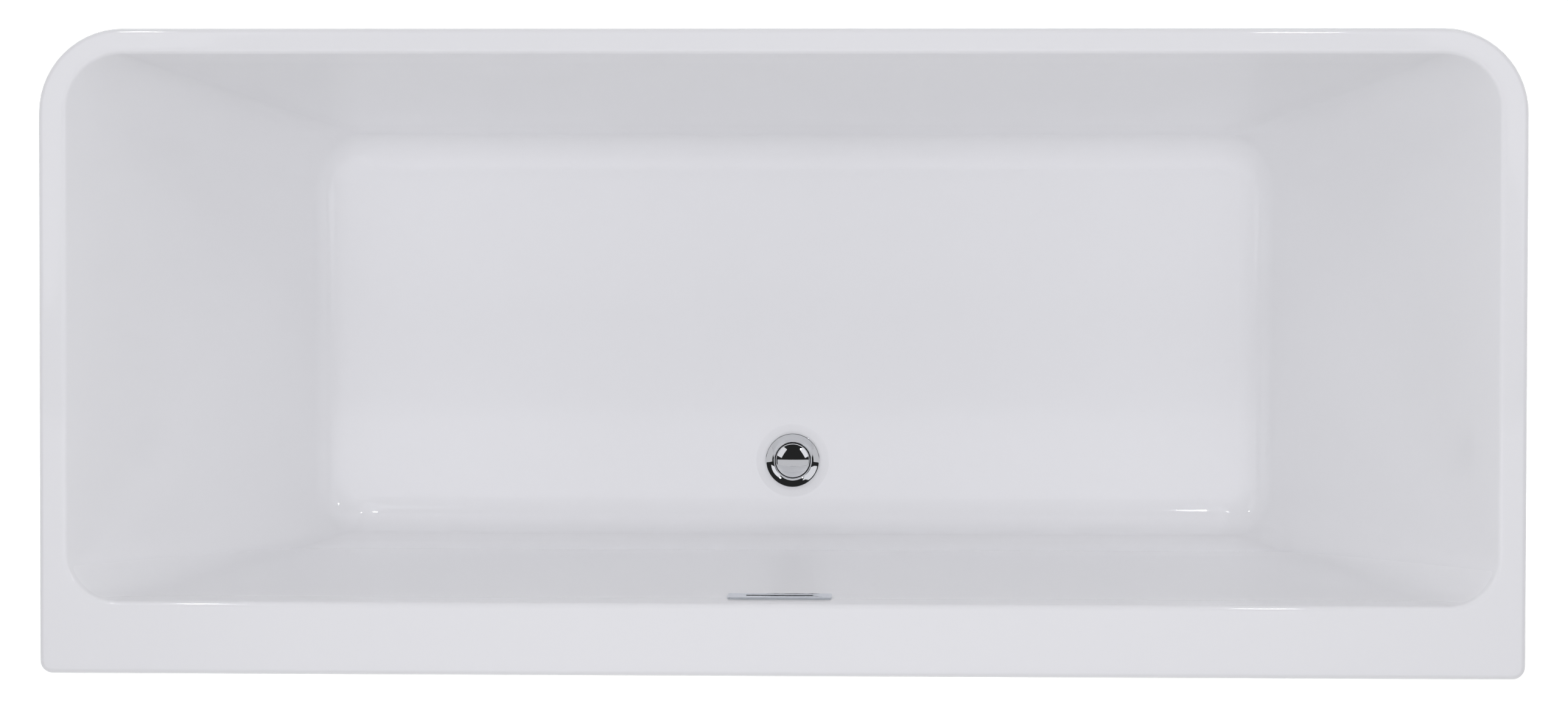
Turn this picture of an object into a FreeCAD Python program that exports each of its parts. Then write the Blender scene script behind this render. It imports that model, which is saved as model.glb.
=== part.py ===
"""Back-to-wall bathtub: acrylic well with a rear deck, outer skirt, steel cradle on levelling feet,
push-plug waste, overflow and shallow trap.

Millimetres. +Z is up, the front of the tub is towards -Y and the wall side towards +Y. The origin is
on the floor under the middle of the tub. Every driving size is a cell of the sheet "Dims".
"""
import FreeCAD, Part
import math
import os
import re

import Sketcher

DIMENSIONS = {
    # outer envelope
    "overall_length": 1700, "overall_width": 740, "overall_height": 580, "well_depth": 435,
    # acrylic sheet and the glass fibre behind it
    "acrylic": 5, "wall_growth": 5.4, "backing": 3, "backing_growth": 3.2, "backing_stop": 8,
    # rim, rear deck and down-turned lip
    "rim_front": 29, "rim_end": 31, "deck_width": 83, "lip_drop": 30,
    "corner_front": 97, "corner_wall": 15, "outer_edge": 7, "inner_edge": 6,
    # well: corners between its walls, floor rectangle before the cove, cove between walls and floor
    "well_corner_front": 64, "well_corner_wall": 55,
    "floor_half_length": 611, "floor_front": 279.5, "floor_wall": 228, "cove": 45,
    # waste opening in the floor
    "waste_y": 139, "recess_top": 47, "recess_bottom": 38, "recess_depth": 2.5,
    "boss_radius": 52, "waste_hole": 26, "backing_gap": 0.3,
    # overflow in the wall-side wall
    "overflow_drop": 35, "overflow_hole_length": 96, "overflow_hole_height": 16,
    "plate_length": 120, "plate_height": 22, "plate_depth": 2.4, "plate_pan": 1.3, "plate_edge": 2,
    "plate_corner": 3, "slot_length": 77, "slot_height": 5,
    "insert_length": 113, "insert_height": 17, "insert_flange": 1.2, "sleeve_length": 95,
    "sleeve_height": 15, "sleeve_depth": 9, "insert_slot_length": 79, "insert_slot_height": 9,
    "overflow_screw_x": 43.3, "overflow_screw_radius": 1.6, "overflow_screw_head": 2.8,
    "overflow_screw_end": 24, "overflow_gasket_start": 8.8, "overflow_gasket": 2,
    "housing_length": 116, "housing_height": 30, "housing_depth": 33, "housing_wall": 3,
    "housing_cavity_height": 22, "spigot_y": 29, "spigot_radius": 12, "spigot_bore": 9.5,
    "spigot_length": 24,
    # outer skirt, its bead and the timber under the deck
    "skirt": 4, "skirt_gap": 2, "skirt_clearance": 6, "skirt_top_gap": 3, "skirt_inset_end": 38,
    "skirt_inset_front": 24, "skirt_back_gap": 16, "open_back": 40,
    "bead_low": 24, "bead_height": 14,
    "batten_depth": 18, "batten_width": 58, "batten_y": 300, "batten_start": 90, "batten_length": 690,
    # board under the floor
    "board": 18, "board_corner": 20, "board_half_length": 570, "board_front": 238, "board_wall": 187,
    "notch_half_width": 62, "notch_y": 85,
    # steel cradle
    "tube": 25, "tube_wall": 2, "rail_half_length": 640, "rail_front_y": -150, "rail_wall_y": 40,
    "bearer_x": 560, "bearer_front": -245, "bearer_back": 200,
    "middle_bearer_front": -165, "middle_bearer_back": 55,
    # board screws, bearer screws and bracket screws
    "board_screw_radius": 2, "board_screw_head": 4.5, "board_screw_head_height": 2.5,
    "board_screw_length": 37, "board_screw_inner_x": 200, "board_screw_outer_x": 450,
    "bearer_screw_radius": 2.5, "bearer_screw_head": 5.5, "bearer_screw_head_height": 3.5,
    "bearer_screw_length": 30, "screw_clearance": 0.2,
    "bracket_screw_radius": 2, "bracket_screw_head": 4, "bracket_screw_head_height": 2.5,
    "bracket_screw_length": 12,
    # straps between cradle and skirt
    "strap": 3, "strap_width": 30, "strap_flange": 42, "end_strap_start": 585,
    "end_strap_screw_a": 598, "end_strap_screw_b": 624, "front_strap_start": 175,
    "front_strap_screw_a": 187, "front_strap_screw_b": 205,
    # levelling feet
    "foot_front_y": -225, "foot_wall_y": 180, "middle_foot_y": -55,
    "nut_corner": 11, "weld_nut_height": 9, "lock_nut_height": 8, "stud_radius": 6,
    "thread_gap": 0.3, "tube_hole": 6.6, "stud_bottom": 6.5, "stud_top": 86,
    "stud_hex_corner": 8.5, "stud_hex_low": 22, "stud_hex_height": 8,
    "pad_radius": 25, "pad_height": 8, "pad_hub": 11, "pad_hub_height": 18, "pad_socket_floor": 6,
    # waste: flange, seals and body
    "seal_bore": 26.2, "seal_radius": 34, "seal_height": 1.5,
    "flange_radius": 35.6, "flange_height": 3.2, "dish_outer": 34.4, "dish_middle": 27,
    "dish_middle_drop": 2, "dish_inner": 22.6, "dish_drop": 5.7, "hub_radius": 25.6, "hub_drop": 6,
    "neck_radius": 23.9, "neck_bore": 21.5, "neck_low": 98, "web_low": 100, "web_height": 4,
    "web_width": 4, "web_boss": 7, "web_boss_height": 6, "web_hole": 3.5,
    "gasket_height": 2.5, "gasket_bore": 26.5, "gasket_radius": 37,
    "body_flange_radius": 38, "body_flange_height": 3, "cup_radius": 31, "cup_bore": 27.5,
    "cup_floor_top": 96, "cup_floor": 4, "tail_low": 74, "tail_bore": 19, "fit_gap": 0.1,
    "cup_collar_top": 104,
    "inlet_z": 112, "inlet_boss": 17, "inlet_boss_start": 28, "inlet_boss_end": 36, "inlet_end": 56,
    # push plug and latch barrel
    "cap_radius": 22.3, "cap_rise": 5.5, "cap_base": 143.5, "cap_disc": 1.5, "cap_hub": 13.8,
    "plug_seal_radius": 21.2, "plug_seal_height": 2.2, "stem_radius": 4, "stem_low": 112,
    "collar_radius": 6.1, "collar_low": 119, "collar_height": 2,
    "barrel_radius": 9, "barrel_low": 106, "barrel_top": 132, "barrel_bore": 6.5,
    "barrel_bore_low": 109, "mouth_low": 129, "mouth_radius": 4.4, "barrel_tail_low": 96,
    "spring_outer": 6.1, "spring_inner": 4.6,
    # overflow hose and its nuts
    "hose_radius": 14, "hose_bore": 12.2, "hose_bend": 65, "hose_start": 3, "hose_end": 38,
    "hose_nut_radius": 18, "hose_nut_bore": 14.3, "hose_nut_length": 20,
    # trap and outlet
    "trap_nut_radius": 31, "trap_nut_low": 73, "trap_nut_height": 17,
    "trap_radius": 42, "trap_wall": 3, "trap_low": 10, "trap_top": 70, "trap_neck": 28,
    "dip_radius": 18.5, "dip_bore": 16, "dip_low": 18,
    "outlet_z": 46, "outlet_radius": 20, "outlet_spigot": 19.4, "outlet_bore": 18.2,
    "outlet_start": 190, "outlet_end": 360,
    "socket_radius": 24, "socket_end": 205,
    "outlet_nut_radius": 29, "outlet_nut_length": 18,
}

# Levels and places that follow from the driving sizes.
FLOOR = "(overall_height - well_depth)"
UNDERSIDE = f"({FLOOR} - acrylic - backing)"
RAIL_BASE = f"({UNDERSIDE} - board - tube)"
BEARER_BASE = f"({RAIL_BASE} - tube)"
HALF_LENGTH = "overall_length / 2"
HALF_WIDTH = "overall_width / 2"
RECESS = f"({FLOOR} - recess_depth)"
FLANGE_BASE = f"({RECESS} + seal_height)"
FLANGE_TOP = f"({FLANGE_BASE} + flange_height)"
BODY_TOP = f"({UNDERSIDE} - gasket_height)"
SKIRT_TOP = "(overall_height - acrylic - skirt_top_gap)"
SKIRT_HALF_TOP = f"({HALF_LENGTH} - acrylic - skirt_gap)"
SKIRT_FRONT_TOP = f"({HALF_WIDTH} - acrylic - skirt_gap)"
SKIRT_BACK = f"({HALF_WIDTH} - acrylic - skirt_back_gap)"
WALL_SLOPE = f"(({HALF_WIDTH} - deck_width - floor_wall) / well_depth)"
OVERFLOW_MIDDLE = (
    "0",
    f"{HALF_WIDTH} - deck_width - {WALL_SLOPE} * overflow_drop",
    "overall_height - overflow_drop",
)
ENDS = (-1, 1)

# How closely an edge has to lie at a level, and how far a search for edges reaches past its outline.
LEVEL_TOLERANCE = 1e-4
SEARCH_MARGIN = 1

doc = FreeCAD.newDocument("BackToWallBath")
sheet = doc.addObject("Spreadsheet::Sheet", "Dims")
for row, (alias, amount) in enumerate(DIMENSIONS.items(), start=1):
    sheet.set(f"A{row}", alias)
    sheet.set(f"B{row}", str(amount))
    sheet.setAlias(f"B{row}", alias)
doc.recompute()


def formula(text):
    """The expression with each cell named through its sheet."""
    return re.sub(r"[a-z]\w*", lambda word: f"Dims.{word[0]}", str(text))


def value(text):
    """What an expression is worth now, as a plain number."""
    worth = sheet.evalExpression(formula(text))
    return float(getattr(worth, "Value", worth))


def place(item, base):
    """Binds an object's position to three expressions."""
    for axis, text in zip("xyz", base):
        item.setExpression(f"Placement.Base.{axis}", formula(text))
    return item


def name_part(item, label):
    """Gives a finished sub-part the name of its file."""
    item.Label = label
    PARTS.append(item)
    return item


PARTS = []
TURN_TO_Y = FreeCAD.Rotation(FreeCAD.Vector(1, 0, 0), -90)
TURN_UP = FreeCAD.Rotation(FreeCAD.Vector(1, 0, 0), 90)
UPRIGHT = FreeCAD.Rotation()


# ---- plain solids ---------------------------------------------------------------------------------

def box(size, base):
    """A box from its lowest corner."""
    item = doc.addObject("Part::Box", "block")
    for side, text in zip(("Length", "Width", "Height"), size):
        item.setExpression(side, formula(text))
    return place(item, base)


def cylinder(radius, height, base, turn=UPRIGHT):
    """A cylinder that stands on `base`, or lies along +Y."""
    item = doc.addObject("Part::Cylinder", "round")
    item.Placement = FreeCAD.Placement(FreeCAD.Vector(), turn)
    item.setExpression("Radius", formula(radius))
    item.setExpression("Height", formula(height))
    return place(item, base)


def cone(low_radius, high_radius, height, base):
    item = doc.addObject("Part::Cone", "taper")
    item.setExpression("Radius1", formula(low_radius))
    item.setExpression("Radius2", formula(high_radius))
    item.setExpression("Height", formula(height))
    return place(item, base)


def hexagon(corner, height, base):
    item = doc.addObject("Part::Prism", "hexagon")
    item.Polygon = 6
    item.setExpression("Circumradius", formula(corner))
    item.setExpression("Height", formula(height))
    return place(item, base)


def fuse(*items):
    if len(items) == 1:
        return items[0]
    item = doc.addObject("Part::MultiFuse", "joined")
    item.Shapes = list(items)
    item.Refine = True
    return item


def cut(base, *tools):
    item = doc.addObject("Part::Cut", "cut")
    item.Base = base
    item.Tool = fuse(*tools)
    item.Refine = True
    return item


def group(*items):
    """Separate identical solids that share one node."""
    item = doc.addObject("Part::Compound", "group")
    item.Links = list(items)
    return item


def ring(outer, inner, low, high, x="0", y="0"):
    """A tube about a vertical line, between two levels."""
    height = f"({high}) - ({low})"
    return cut(cylinder(outer, height, (x, y, low)), cylinder(inner, height, (x, y, low)))


def ring_y(outer, inner, start, end, z):
    """A tube about a line along Y, between two places."""
    length = f"({end}) - ({start})"
    outside = cylinder(outer, length, ("0", start, z), TURN_TO_Y)
    return cut(outside, cylinder(inner, length, ("0", start, z), TURN_TO_Y))


# ---- sketches and bodies --------------------------------------------------------------------------

def new_body(label):
    return doc.addObject("PartDesign::Body", label)


def new_sketch(body, role, lift="0"):
    """A sketch on one of the body's origin planes, lifted along the plane's normal."""
    sketch = body.newObject("Sketcher::SketchObject", f"{body.Name}_outline")
    plane = next(item for item in body.Origin.OriginFeatures if item.Role == role)
    sketch.AttachmentSupport = [(plane, "")]
    sketch.MapMode = "FlatFace"
    sketch.setExpression("AttachmentOffset.Base.z", formula(lift))
    return sketch


def constrain(sketch, kind, where, text):
    """Adds a size or a distance from the origin, bound to an expression."""
    amount = value(text)
    sign = "-" if amount < 0 else ""
    if kind == "Radius":
        ends = where
    else:
        ends = (*where, -1, 1) if amount < 0 else (-1, 1, *where)
    index = sketch.addConstraint(Sketcher.Constraint(kind, *ends, abs(amount)))
    name = f"size_{index}"
    sketch.renameConstraint(index, name)
    sketch.setExpression(f"Constraints.{name}", f"{sign}({formula(text)})")


def rounded_rectangle(sketch, half_length, front, wall, front_corner, wall_corner=None):
    """A rectangle across the tub, with round front corners and round or square wall-side corners."""
    half, low, high = value(half_length), -value(front), value(wall)
    bend = value(front_corner)
    far = value(wall_corner) if wall_corner else 0
    vector = FreeCAD.Vector
    runs = [
        (vector(-half + bend, low), vector(half - bend, low)),
        (vector(half, low + bend), vector(half, high - far)),
        (vector(half - far, high), vector(-half + far, high)),
        (vector(-half, high - far), vector(-half, low + bend)),
    ]
    front_run, right_run, wall_run, left_run = [
        sketch.addGeometry(Part.LineSegment(start, end), False) for start, end in runs
    ]
    corners = [
        (front_run, right_run, vector(half - bend, low + bend), bend, -90),
        (left_run, front_run, vector(-half + bend, low + bend), bend, 180),
    ]
    if far:
        corners += [
            (right_run, wall_run, vector(half - far, high - far), far, 0),
            (wall_run, left_run, vector(-half + far, high - far), far, 90),
        ]
    else:
        sketch.addConstraint(Sketcher.Constraint("Coincident", right_run, 2, wall_run, 1))
        sketch.addConstraint(Sketcher.Constraint("Coincident", wall_run, 2, left_run, 1))
    arcs = []
    for before, after, centre, radius, start in corners:
        circle = Part.Circle(centre, vector(0, 0, 1), radius)
        arc = Part.ArcOfCircle(circle, math.radians(start), math.radians(start + 90))
        arcs.append(sketch.addGeometry(arc, False))
        sketch.addConstraint(Sketcher.Constraint("Tangent", before, 2, arcs[-1], 1))
        sketch.addConstraint(Sketcher.Constraint("Tangent", arcs[-1], 2, after, 1))
    for run in (front_run, wall_run):
        sketch.addConstraint(Sketcher.Constraint("Horizontal", run))
    for run in (right_run, left_run):
        sketch.addConstraint(Sketcher.Constraint("Vertical", run))
    constrain(sketch, "DistanceY", (front_run, 1), f"-({front})")
    constrain(sketch, "DistanceY", (wall_run, 1), wall)
    constrain(sketch, "DistanceX", (right_run, 1), half_length)
    constrain(sketch, "DistanceX", (left_run, 1), f"-({half_length})")
    for arc in arcs[:2]:
        constrain(sketch, "Radius", (arc,), front_corner)
    for arc in arcs[2:]:
        constrain(sketch, "Radius", (arc,), wall_corner)


def polygon(sketch, points):
    """A closed outline of straight runs through points given as expressions."""
    places = [FreeCAD.Vector(value(across), value(up)) for across, up in points]
    runs = [
        sketch.addGeometry(Part.LineSegment(start, end), False)
        for start, end in zip(places, places[1:] + places[:1])
    ]
    for run, following in zip(runs, runs[1:] + runs[:1]):
        sketch.addConstraint(Sketcher.Constraint("Coincident", run, 2, following, 1))
    for run, (across, up) in zip(runs, points):
        constrain(sketch, "DistanceX", (run, 1), across)
        constrain(sketch, "DistanceY", (run, 1), up)


def tapered(label, low, low_plan, high, high_plan, front_corner, wall_corner=None):
    """A solid with flat sloping sides between two rectangles, its upright edges rounded.

    A plan is the half length, the distance to the front and the distance to the wall side.
    """
    body = new_body(label)
    block = body.newObject("PartDesign::AdditiveWedge", f"{label}_block")
    block.Placement = FreeCAD.Placement(FreeCAD.Vector(), TURN_UP)
    block.setExpression("Ymin", formula(low))
    block.setExpression("Ymax", formula(high))
    for mark, (half, front, wall) in (("", low_plan), ("2", high_plan)):
        block.setExpression(f"X{mark}min", formula(f"-({half})"))
        block.setExpression(f"X{mark}max", formula(half))
        block.setExpression(f"Z{mark}min", formula(f"-({wall})"))
        block.setExpression(f"Z{mark}max", formula(front))
    doc.recompute()
    height = value(f"({high}) - ({low})")
    round_uprights(body, height, front_corner, front=True)
    if wall_corner:
        round_uprights(body, height, wall_corner, front=False)
    return body


def is_corner(edge, height, front):
    """Whether an edge is a sharp one from bottom to top, at the front or at the wall side."""
    span = edge.BoundBox
    full_height = span.ZLength > height - SEARCH_MARGIN
    return full_height and span.XLength > 0 and (span.YMax < 0) == front


def round_uprights(body, height, radius, front):
    """Rounds the edges between the sides, at the front or at the wall side."""
    base = body.Tip
    names = [
        f"Edge{number}"
        for number, edge in enumerate(base.Shape.Edges, start=1)
        if is_corner(edge, height, front)
    ]
    fillet = body.newObject("PartDesign::Fillet", f"{body.Name}_corners")
    fillet.Base = (base, names)
    fillet.setExpression("Radius", formula(radius))
    doc.recompute()


def padded(label, outline, low, height, draw=rounded_rectangle, role="XY_Plane"):
    """A solid of constant section."""
    body = new_body(label)
    sketch = new_sketch(body, role, low)
    if draw is polygon:
        polygon(sketch, outline)
    else:
        rounded_rectangle(sketch, *outline)
    pad = body.newObject("PartDesign::Pad", f"{label}_pad")
    pad.Profile = sketch
    pad.setExpression("Length", formula(height))
    doc.recompute()
    return body


def level_edges(shape, level):
    """Names of the edges that lie wholly at one height."""
    return [
        f"Edge{number}"
        for number, edge in enumerate(shape.Edges, start=1)
        if abs(edge.BoundBox.ZMin - level) < LEVEL_TOLERANCE
        and abs(edge.BoundBox.ZMax - level) < LEVEL_TOLERANCE
    ]


def rounded_edges(body, level, radius):
    """Rounds every edge of a body at one height."""
    base = body.Tip
    fillet = body.newObject("PartDesign::Fillet", f"{body.Name}_fillet")
    fillet.Base = (base, level_edges(base.Shape, value(level)))
    fillet.setExpression("Radius", formula(radius))
    doc.recompute()
    return body


# ---- the bath shell -------------------------------------------------------------------------------

def mouth_plan(growth):
    return (
        f"{HALF_LENGTH} - rim_end + {growth}",
        f"{HALF_WIDTH} - rim_front + {growth}",
        f"{HALF_WIDTH} - deck_width + {growth}",
    )


def floor_plan(growth):
    return f"floor_half_length + {growth}", f"floor_front + {growth}", f"floor_wall + {growth}"


def well_form(label, growth, thickness):
    """The well as a solid, grown outwards by a wall thickness, with the cove round its floor."""
    bottom = f"{FLOOR} - ({thickness})"
    body = tapered(
        label, bottom, floor_plan(growth), "overall_height", mouth_plan(growth),
        f"well_corner_front + {growth}", f"well_corner_wall + {growth}",
    )
    return rounded_edges(body, bottom, f"cove + {thickness}")


def at_waste(radius, low, high):
    """A vertical cylinder at the waste."""
    return cylinder(radius, f"({high}) - ({low})", ("0", "waste_y", low))


def overflow_placement():
    """The overflow's own frame now: Y goes into the wall-side wall and Z up along it."""
    lean = math.degrees(math.atan(value(WALL_SLOPE)))
    turn = FreeCAD.Rotation(FreeCAD.Vector(1, 0, 0), -lean)
    return FreeCAD.Placement(FreeCAD.Vector(*[value(text) for text in OVERFLOW_MIDDLE]), turn)


def overflow_frame(item):
    """Puts an overflow piece on the inner face of the wall-side wall, leaning with the wall."""
    item.Placement = overflow_placement()
    return place(item, OVERFLOW_MIDDLE)


def centred_box(length, height, start, depth):
    """A box about the overflow's middle, from one depth into the wall to another."""
    size = (length, depth, height)
    return box(size, (f"-({length}) / 2", start, f"-({height}) / 2"))


def overflow_opening():
    """What is cut out of the wall for the overflow."""
    reach = "4 * overflow_gasket_start"
    block = centred_box("overflow_hole_length", "overflow_hole_height", f"-({reach}) / 2", reach)
    return overflow_frame(group(block))


def make_shell():
    plate = padded(
        "rim_plate",
        (HALF_LENGTH, HALF_WIDTH, HALF_WIDTH, "corner_front", "corner_wall"),
        "overall_height - lip_drop",
        "lip_drop",
    )
    rounded_edges(plate, "overall_height", "outer_edge")
    inset = (
        f"{HALF_LENGTH} - acrylic", f"{HALF_WIDTH} - acrylic", f"{HALF_WIDTH} - acrylic",
        "corner_front - acrylic", "corner_wall - acrylic",
    )
    hollow = padded("rim_hollow", inset, "overall_height - lip_drop", "lip_drop - acrylic")
    rim = cut(plate, hollow)
    outside = well_form("well_outside", "wall_growth", "acrylic")
    boss = at_waste("boss_radius", UNDERSIDE, FLOOR)
    blank = fuse(rim, outside, boss)
    inside = well_form("well_inside", "0", "0")
    recess = cone("recess_bottom", "recess_top", "recess_depth", ("0", "waste_y", RECESS))
    hole = at_waste("waste_hole", UNDERSIDE, FLOOR)
    opened = cut(blank, inside, recess, hole, overflow_opening())
    doc.recompute()
    mouth = [
        name for name in level_edges(opened.Shape, value("overall_height"))
        if inside_mouth(opened.Shape.getElement(name))
    ]
    radius = value("inner_edge")
    shell = doc.addObject("Part::Fillet", "shell")
    shell.Base = opened
    shell.Edges = [(int(name[4:]), radius, radius) for name in mouth]
    return name_part(shell, "tub_shell")


def inside_mouth(edge):
    """Whether an edge of the rim belongs to the mouth of the well."""
    reach = value(f"{HALF_LENGTH} - rim_end") + SEARCH_MARGIN
    span = edge.BoundBox
    front = -value(f"{HALF_WIDTH} - rim_front") - SEARCH_MARGIN
    wall = value(f"{HALF_WIDTH} - deck_width") + SEARCH_MARGIN
    within_length = span.XMin > -reach and span.XMax < reach
    return within_length and span.YMin > front and span.YMax < wall


def make_backing():
    growth = "wall_growth + backing_growth"
    outside = well_form("backing_outside", growth, "acrylic + backing")
    inside = well_form("backing_inside", "wall_growth", "acrylic")
    top = box(
        ("overall_length", "overall_width", "overall_height"),
        (f"-({HALF_LENGTH})", f"-({HALF_WIDTH})", "overall_height - backing_stop"),
    )
    hole = at_waste("boss_radius + backing_gap", f"{UNDERSIDE} - backing", FLOOR)
    return name_part(cut(outside, inside, top, hole, overflow_opening()), "glass_fibre_backing")


def make_board():
    outline = ("board_half_length", "board_front", "board_wall", "board_corner")
    board = padded("board_blank", outline, f"{UNDERSIDE} - board", "board")
    notch = box(
        ("2 * notch_half_width", "board_wall - notch_y", "board"),
        ("-notch_half_width", "notch_y", f"{UNDERSIDE} - board"),
    )
    holes = [shank(spot, "board_screw_radius", "board_screw_length") for spot in board_screws()]
    return name_part(cut(board, notch, *holes), "base_board")


# ---- skirt, bead and battens ----------------------------------------------------------------------

def skirt_form(label, thickness, back):
    low_plan = (
        f"{SKIRT_HALF_TOP} - skirt_inset_end - {thickness}",
        f"{SKIRT_FRONT_TOP} - skirt_inset_front - {thickness}",
        back,
    )
    high_plan = (f"{SKIRT_HALF_TOP} - {thickness}", f"{SKIRT_FRONT_TOP} - {thickness}", back)
    corner = f"corner_front - acrylic - skirt_gap - {thickness}"
    return tapered(label, "skirt_clearance", low_plan, SKIRT_TOP, high_plan, corner)


def make_skirt():
    outside = skirt_form("skirt_outside", "0", SKIRT_BACK)
    inside = skirt_form("skirt_inside", "skirt", f"{SKIRT_BACK} + open_back")
    return name_part(cut(outside, inside), "outer_skirt")


def make_bead():
    outer = (
        f"{HALF_LENGTH} - acrylic", f"{HALF_WIDTH} - acrylic", SKIRT_BACK, "corner_front - acrylic",
    )
    inner = (
        SKIRT_HALF_TOP, SKIRT_FRONT_TOP, f"{SKIRT_BACK} + open_back",
        "corner_front - acrylic - skirt_gap",
    )
    low = "overall_height - bead_low"
    outside = padded("bead_outside", outer, low, "bead_height")
    inside = padded("bead_inside", inner, low, "bead_height")
    return name_part(cut(outside, inside), "rim_sealant")


def make_battens():
    size = ("batten_length", "batten_width", "batten_depth")
    level = "overall_height - acrylic - batten_depth"
    right = box(size, ("batten_start", "batten_y", level))
    left = box(size, ("-batten_start - batten_length", "batten_y", level))
    return name_part(group(left, right), "deck_battens")


# ---- cradle ---------------------------------------------------------------------------------------

def shank(base, radius, length):
    """The straight part of an upright screw, from the underside of its head."""
    return cylinder(radius, length, base)


def board_screws():
    """Undersides of the rails where screws go up into the board."""
    return [
        (f"{side} * {across}", rail, RAIL_BASE)
        for rail in ("rail_front_y", "rail_wall_y")
        for across in ("board_screw_inner_x", "board_screw_outer_x")
        for side in ENDS
    ]


def bearer_screws():
    """Undersides of the bearers where they cross the rails."""
    return [
        (f"{side} * bearer_x", rail, BEARER_BASE)
        for rail in ("rail_front_y", "rail_wall_y")
        for side in (-1, 0, 1)
    ]


def bracket_screw_spots():
    """Tops of the straps: rail ends at both ends, bearer ends at the front."""
    on_rails = [
        (f"{side} * {across}", rail, f"{RAIL_BASE} + tube + strap")
        for rail in ("rail_front_y", "rail_wall_y")
        for across in ("end_strap_screw_a", "end_strap_screw_b")
        for side in ENDS
    ]
    on_bearers = [
        (f"{side} * bearer_x", f"-{along}", f"{BEARER_BASE} + tube + strap")
        for along in ("front_strap_screw_a", "front_strap_screw_b")
        for side in ENDS
    ]
    return on_rails + on_bearers


def below(base, drop):
    return (base[0], base[1], f"{base[2]} - ({drop})")


def square_tube(length, base, along_x):
    """A square steel tube, open at both ends."""
    inner = "tube - 2 * tube_wall"
    size = (length, "tube", "tube") if along_x else ("tube", length, "tube")
    hollow = (length, inner, inner) if along_x else (inner, length, inner)
    step = ("0", "tube_wall", "tube_wall") if along_x else ("tube_wall", "0", "tube_wall")
    corner = tuple(f"{text} + {more}" for text, more in zip(base, step))
    return box(size, base), box(hollow, corner)


def make_rails():
    board_holes = "board_screw_radius + screw_clearance"
    for label, rail in (("frame_rail_front", "rail_front_y"), ("frame_rail_back", "rail_wall_y")):
        base = ("-rail_half_length", f"{rail} - tube / 2", RAIL_BASE)
        outside, hollow = square_tube("2 * rail_half_length", base, True)
        holes = [
            shank(spot, board_holes, "tube") for spot in board_screws() if spot[1] == rail
        ] + [
            shank((spot[0], rail, RAIL_BASE), "bearer_screw_radius", "tube_wall")
            for spot in bearer_screws() if spot[1] == rail
        ] + [
            shank(below(spot, "strap + tube_wall"), "bracket_screw_radius", "tube_wall")
            for spot in bracket_screw_spots() if spot[1] == rail
        ]
        name_part(cut(outside, hollow, *holes), label)


def make_bearers():
    bearers = (
        ("bearer_left", -1, "bearer_front", "bearer_back"),
        ("bearer_middle", 0, "middle_bearer_front", "middle_bearer_back"),
        ("bearer_right", 1, "bearer_front", "bearer_back"),
    )
    for label, side, front, back in bearers:
        base = (f"{side} * bearer_x - tube / 2", front, BEARER_BASE)
        outside, hollow = square_tube(f"({back}) - ({front})", base, False)
        across = f"{side} * bearer_x"
        holes = [
            shank(spot, "bearer_screw_radius + screw_clearance", "tube")
            for spot in bearer_screws() if spot[0] == across
        ] + [
            cylinder("tube_hole", "tube_wall", (across, along, BEARER_BASE))
            for where, along in foot_spots() if where == across
        ] + [
            shank(below(spot, "strap + tube_wall"), "bracket_screw_radius", "tube_wall")
            for spot in bracket_screw_spots() if spot[0] == across
        ]
        name_part(cut(outside, hollow, *holes), label)


def screw_up(spot, radius, length, head, head_height):
    """A screw that points up, with its head under `spot`."""
    return fuse(shank(spot, radius, length), cylinder(head, head_height, below(spot, head_height)))


def screw_down(spot, radius, length, head, head_height):
    """A screw that points down, with its head on `spot`."""
    return fuse(shank(below(spot, length), radius, length), cylinder(head, head_height, spot))


def make_screws():
    kinds = (
        ("board", screw_up, board_screws()),
        ("bearer", screw_up, bearer_screws()),
        ("bracket", screw_down, bracket_screw_spots()),
    )
    for kind, screw, spots in kinds:
        size = [f"{kind}_screw_{part}" for part in ("radius", "length", "head", "head_height")]
        name_part(group(*[screw(spot, *size) for spot in spots]), f"{kind}_screws")


def skirt_inner(top, inset, level):
    """How far the skirt's inner face is from the middle, at a level."""
    slope = f"({inset}) / ({SKIRT_TOP} - skirt_clearance)"
    return f"({top} - {inset} - skirt + {slope} * ({level} - skirt_clearance))"


def strap(start, top, inset, seat, turn, shift):
    """A folded strap: a leg on the frame and a flange that lies against the leaning skirt."""
    high, low = f"({seat} + strap)", f"({seat} + strap - strap_flange)"
    outline = [
        (start, high),
        (skirt_inner(top, inset, high), high),
        (skirt_inner(top, inset, low), low),
        (f"{skirt_inner(top, inset, low)} - strap", low),
        (f"{skirt_inner(top, inset, seat)} - strap", seat),
        (start, seat),
    ]
    body = padded("strap", outline, "-strap_width / 2", "strap_width", draw=polygon, role="XZ_Plane")
    body.Placement = FreeCAD.Placement(FreeCAD.Vector(), FreeCAD.Rotation(FreeCAD.Vector(0, 0, 1), turn))
    place(body, shift)
    holes = [
        shank(below(spot, "strap"), "bracket_screw_radius + screw_clearance", "strap")
        for spot in bracket_screw_spots()
    ]
    return cut(body, *holes)


def make_straps():
    rail_seat = f"({RAIL_BASE} + tube)"
    bearer_seat = f"({BEARER_BASE} + tube)"
    end_straps = [
        strap("end_strap_start", SKIRT_HALF_TOP, "skirt_inset_end", rail_seat, turn, ("0", rail, "0"))
        for rail in ("rail_front_y", "rail_wall_y")
        for turn in (0, 180)
    ]
    name_part(group(*end_straps), "end_brackets")
    front_straps = [
        strap(
            "front_strap_start", SKIRT_FRONT_TOP, "skirt_inset_front", bearer_seat, -90,
            (f"{side} * bearer_x", "0", "0"),
        )
        for side in ENDS
    ]
    name_part(group(*front_straps), "front_brackets")


# ---- levelling feet -------------------------------------------------------------------------------

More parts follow.
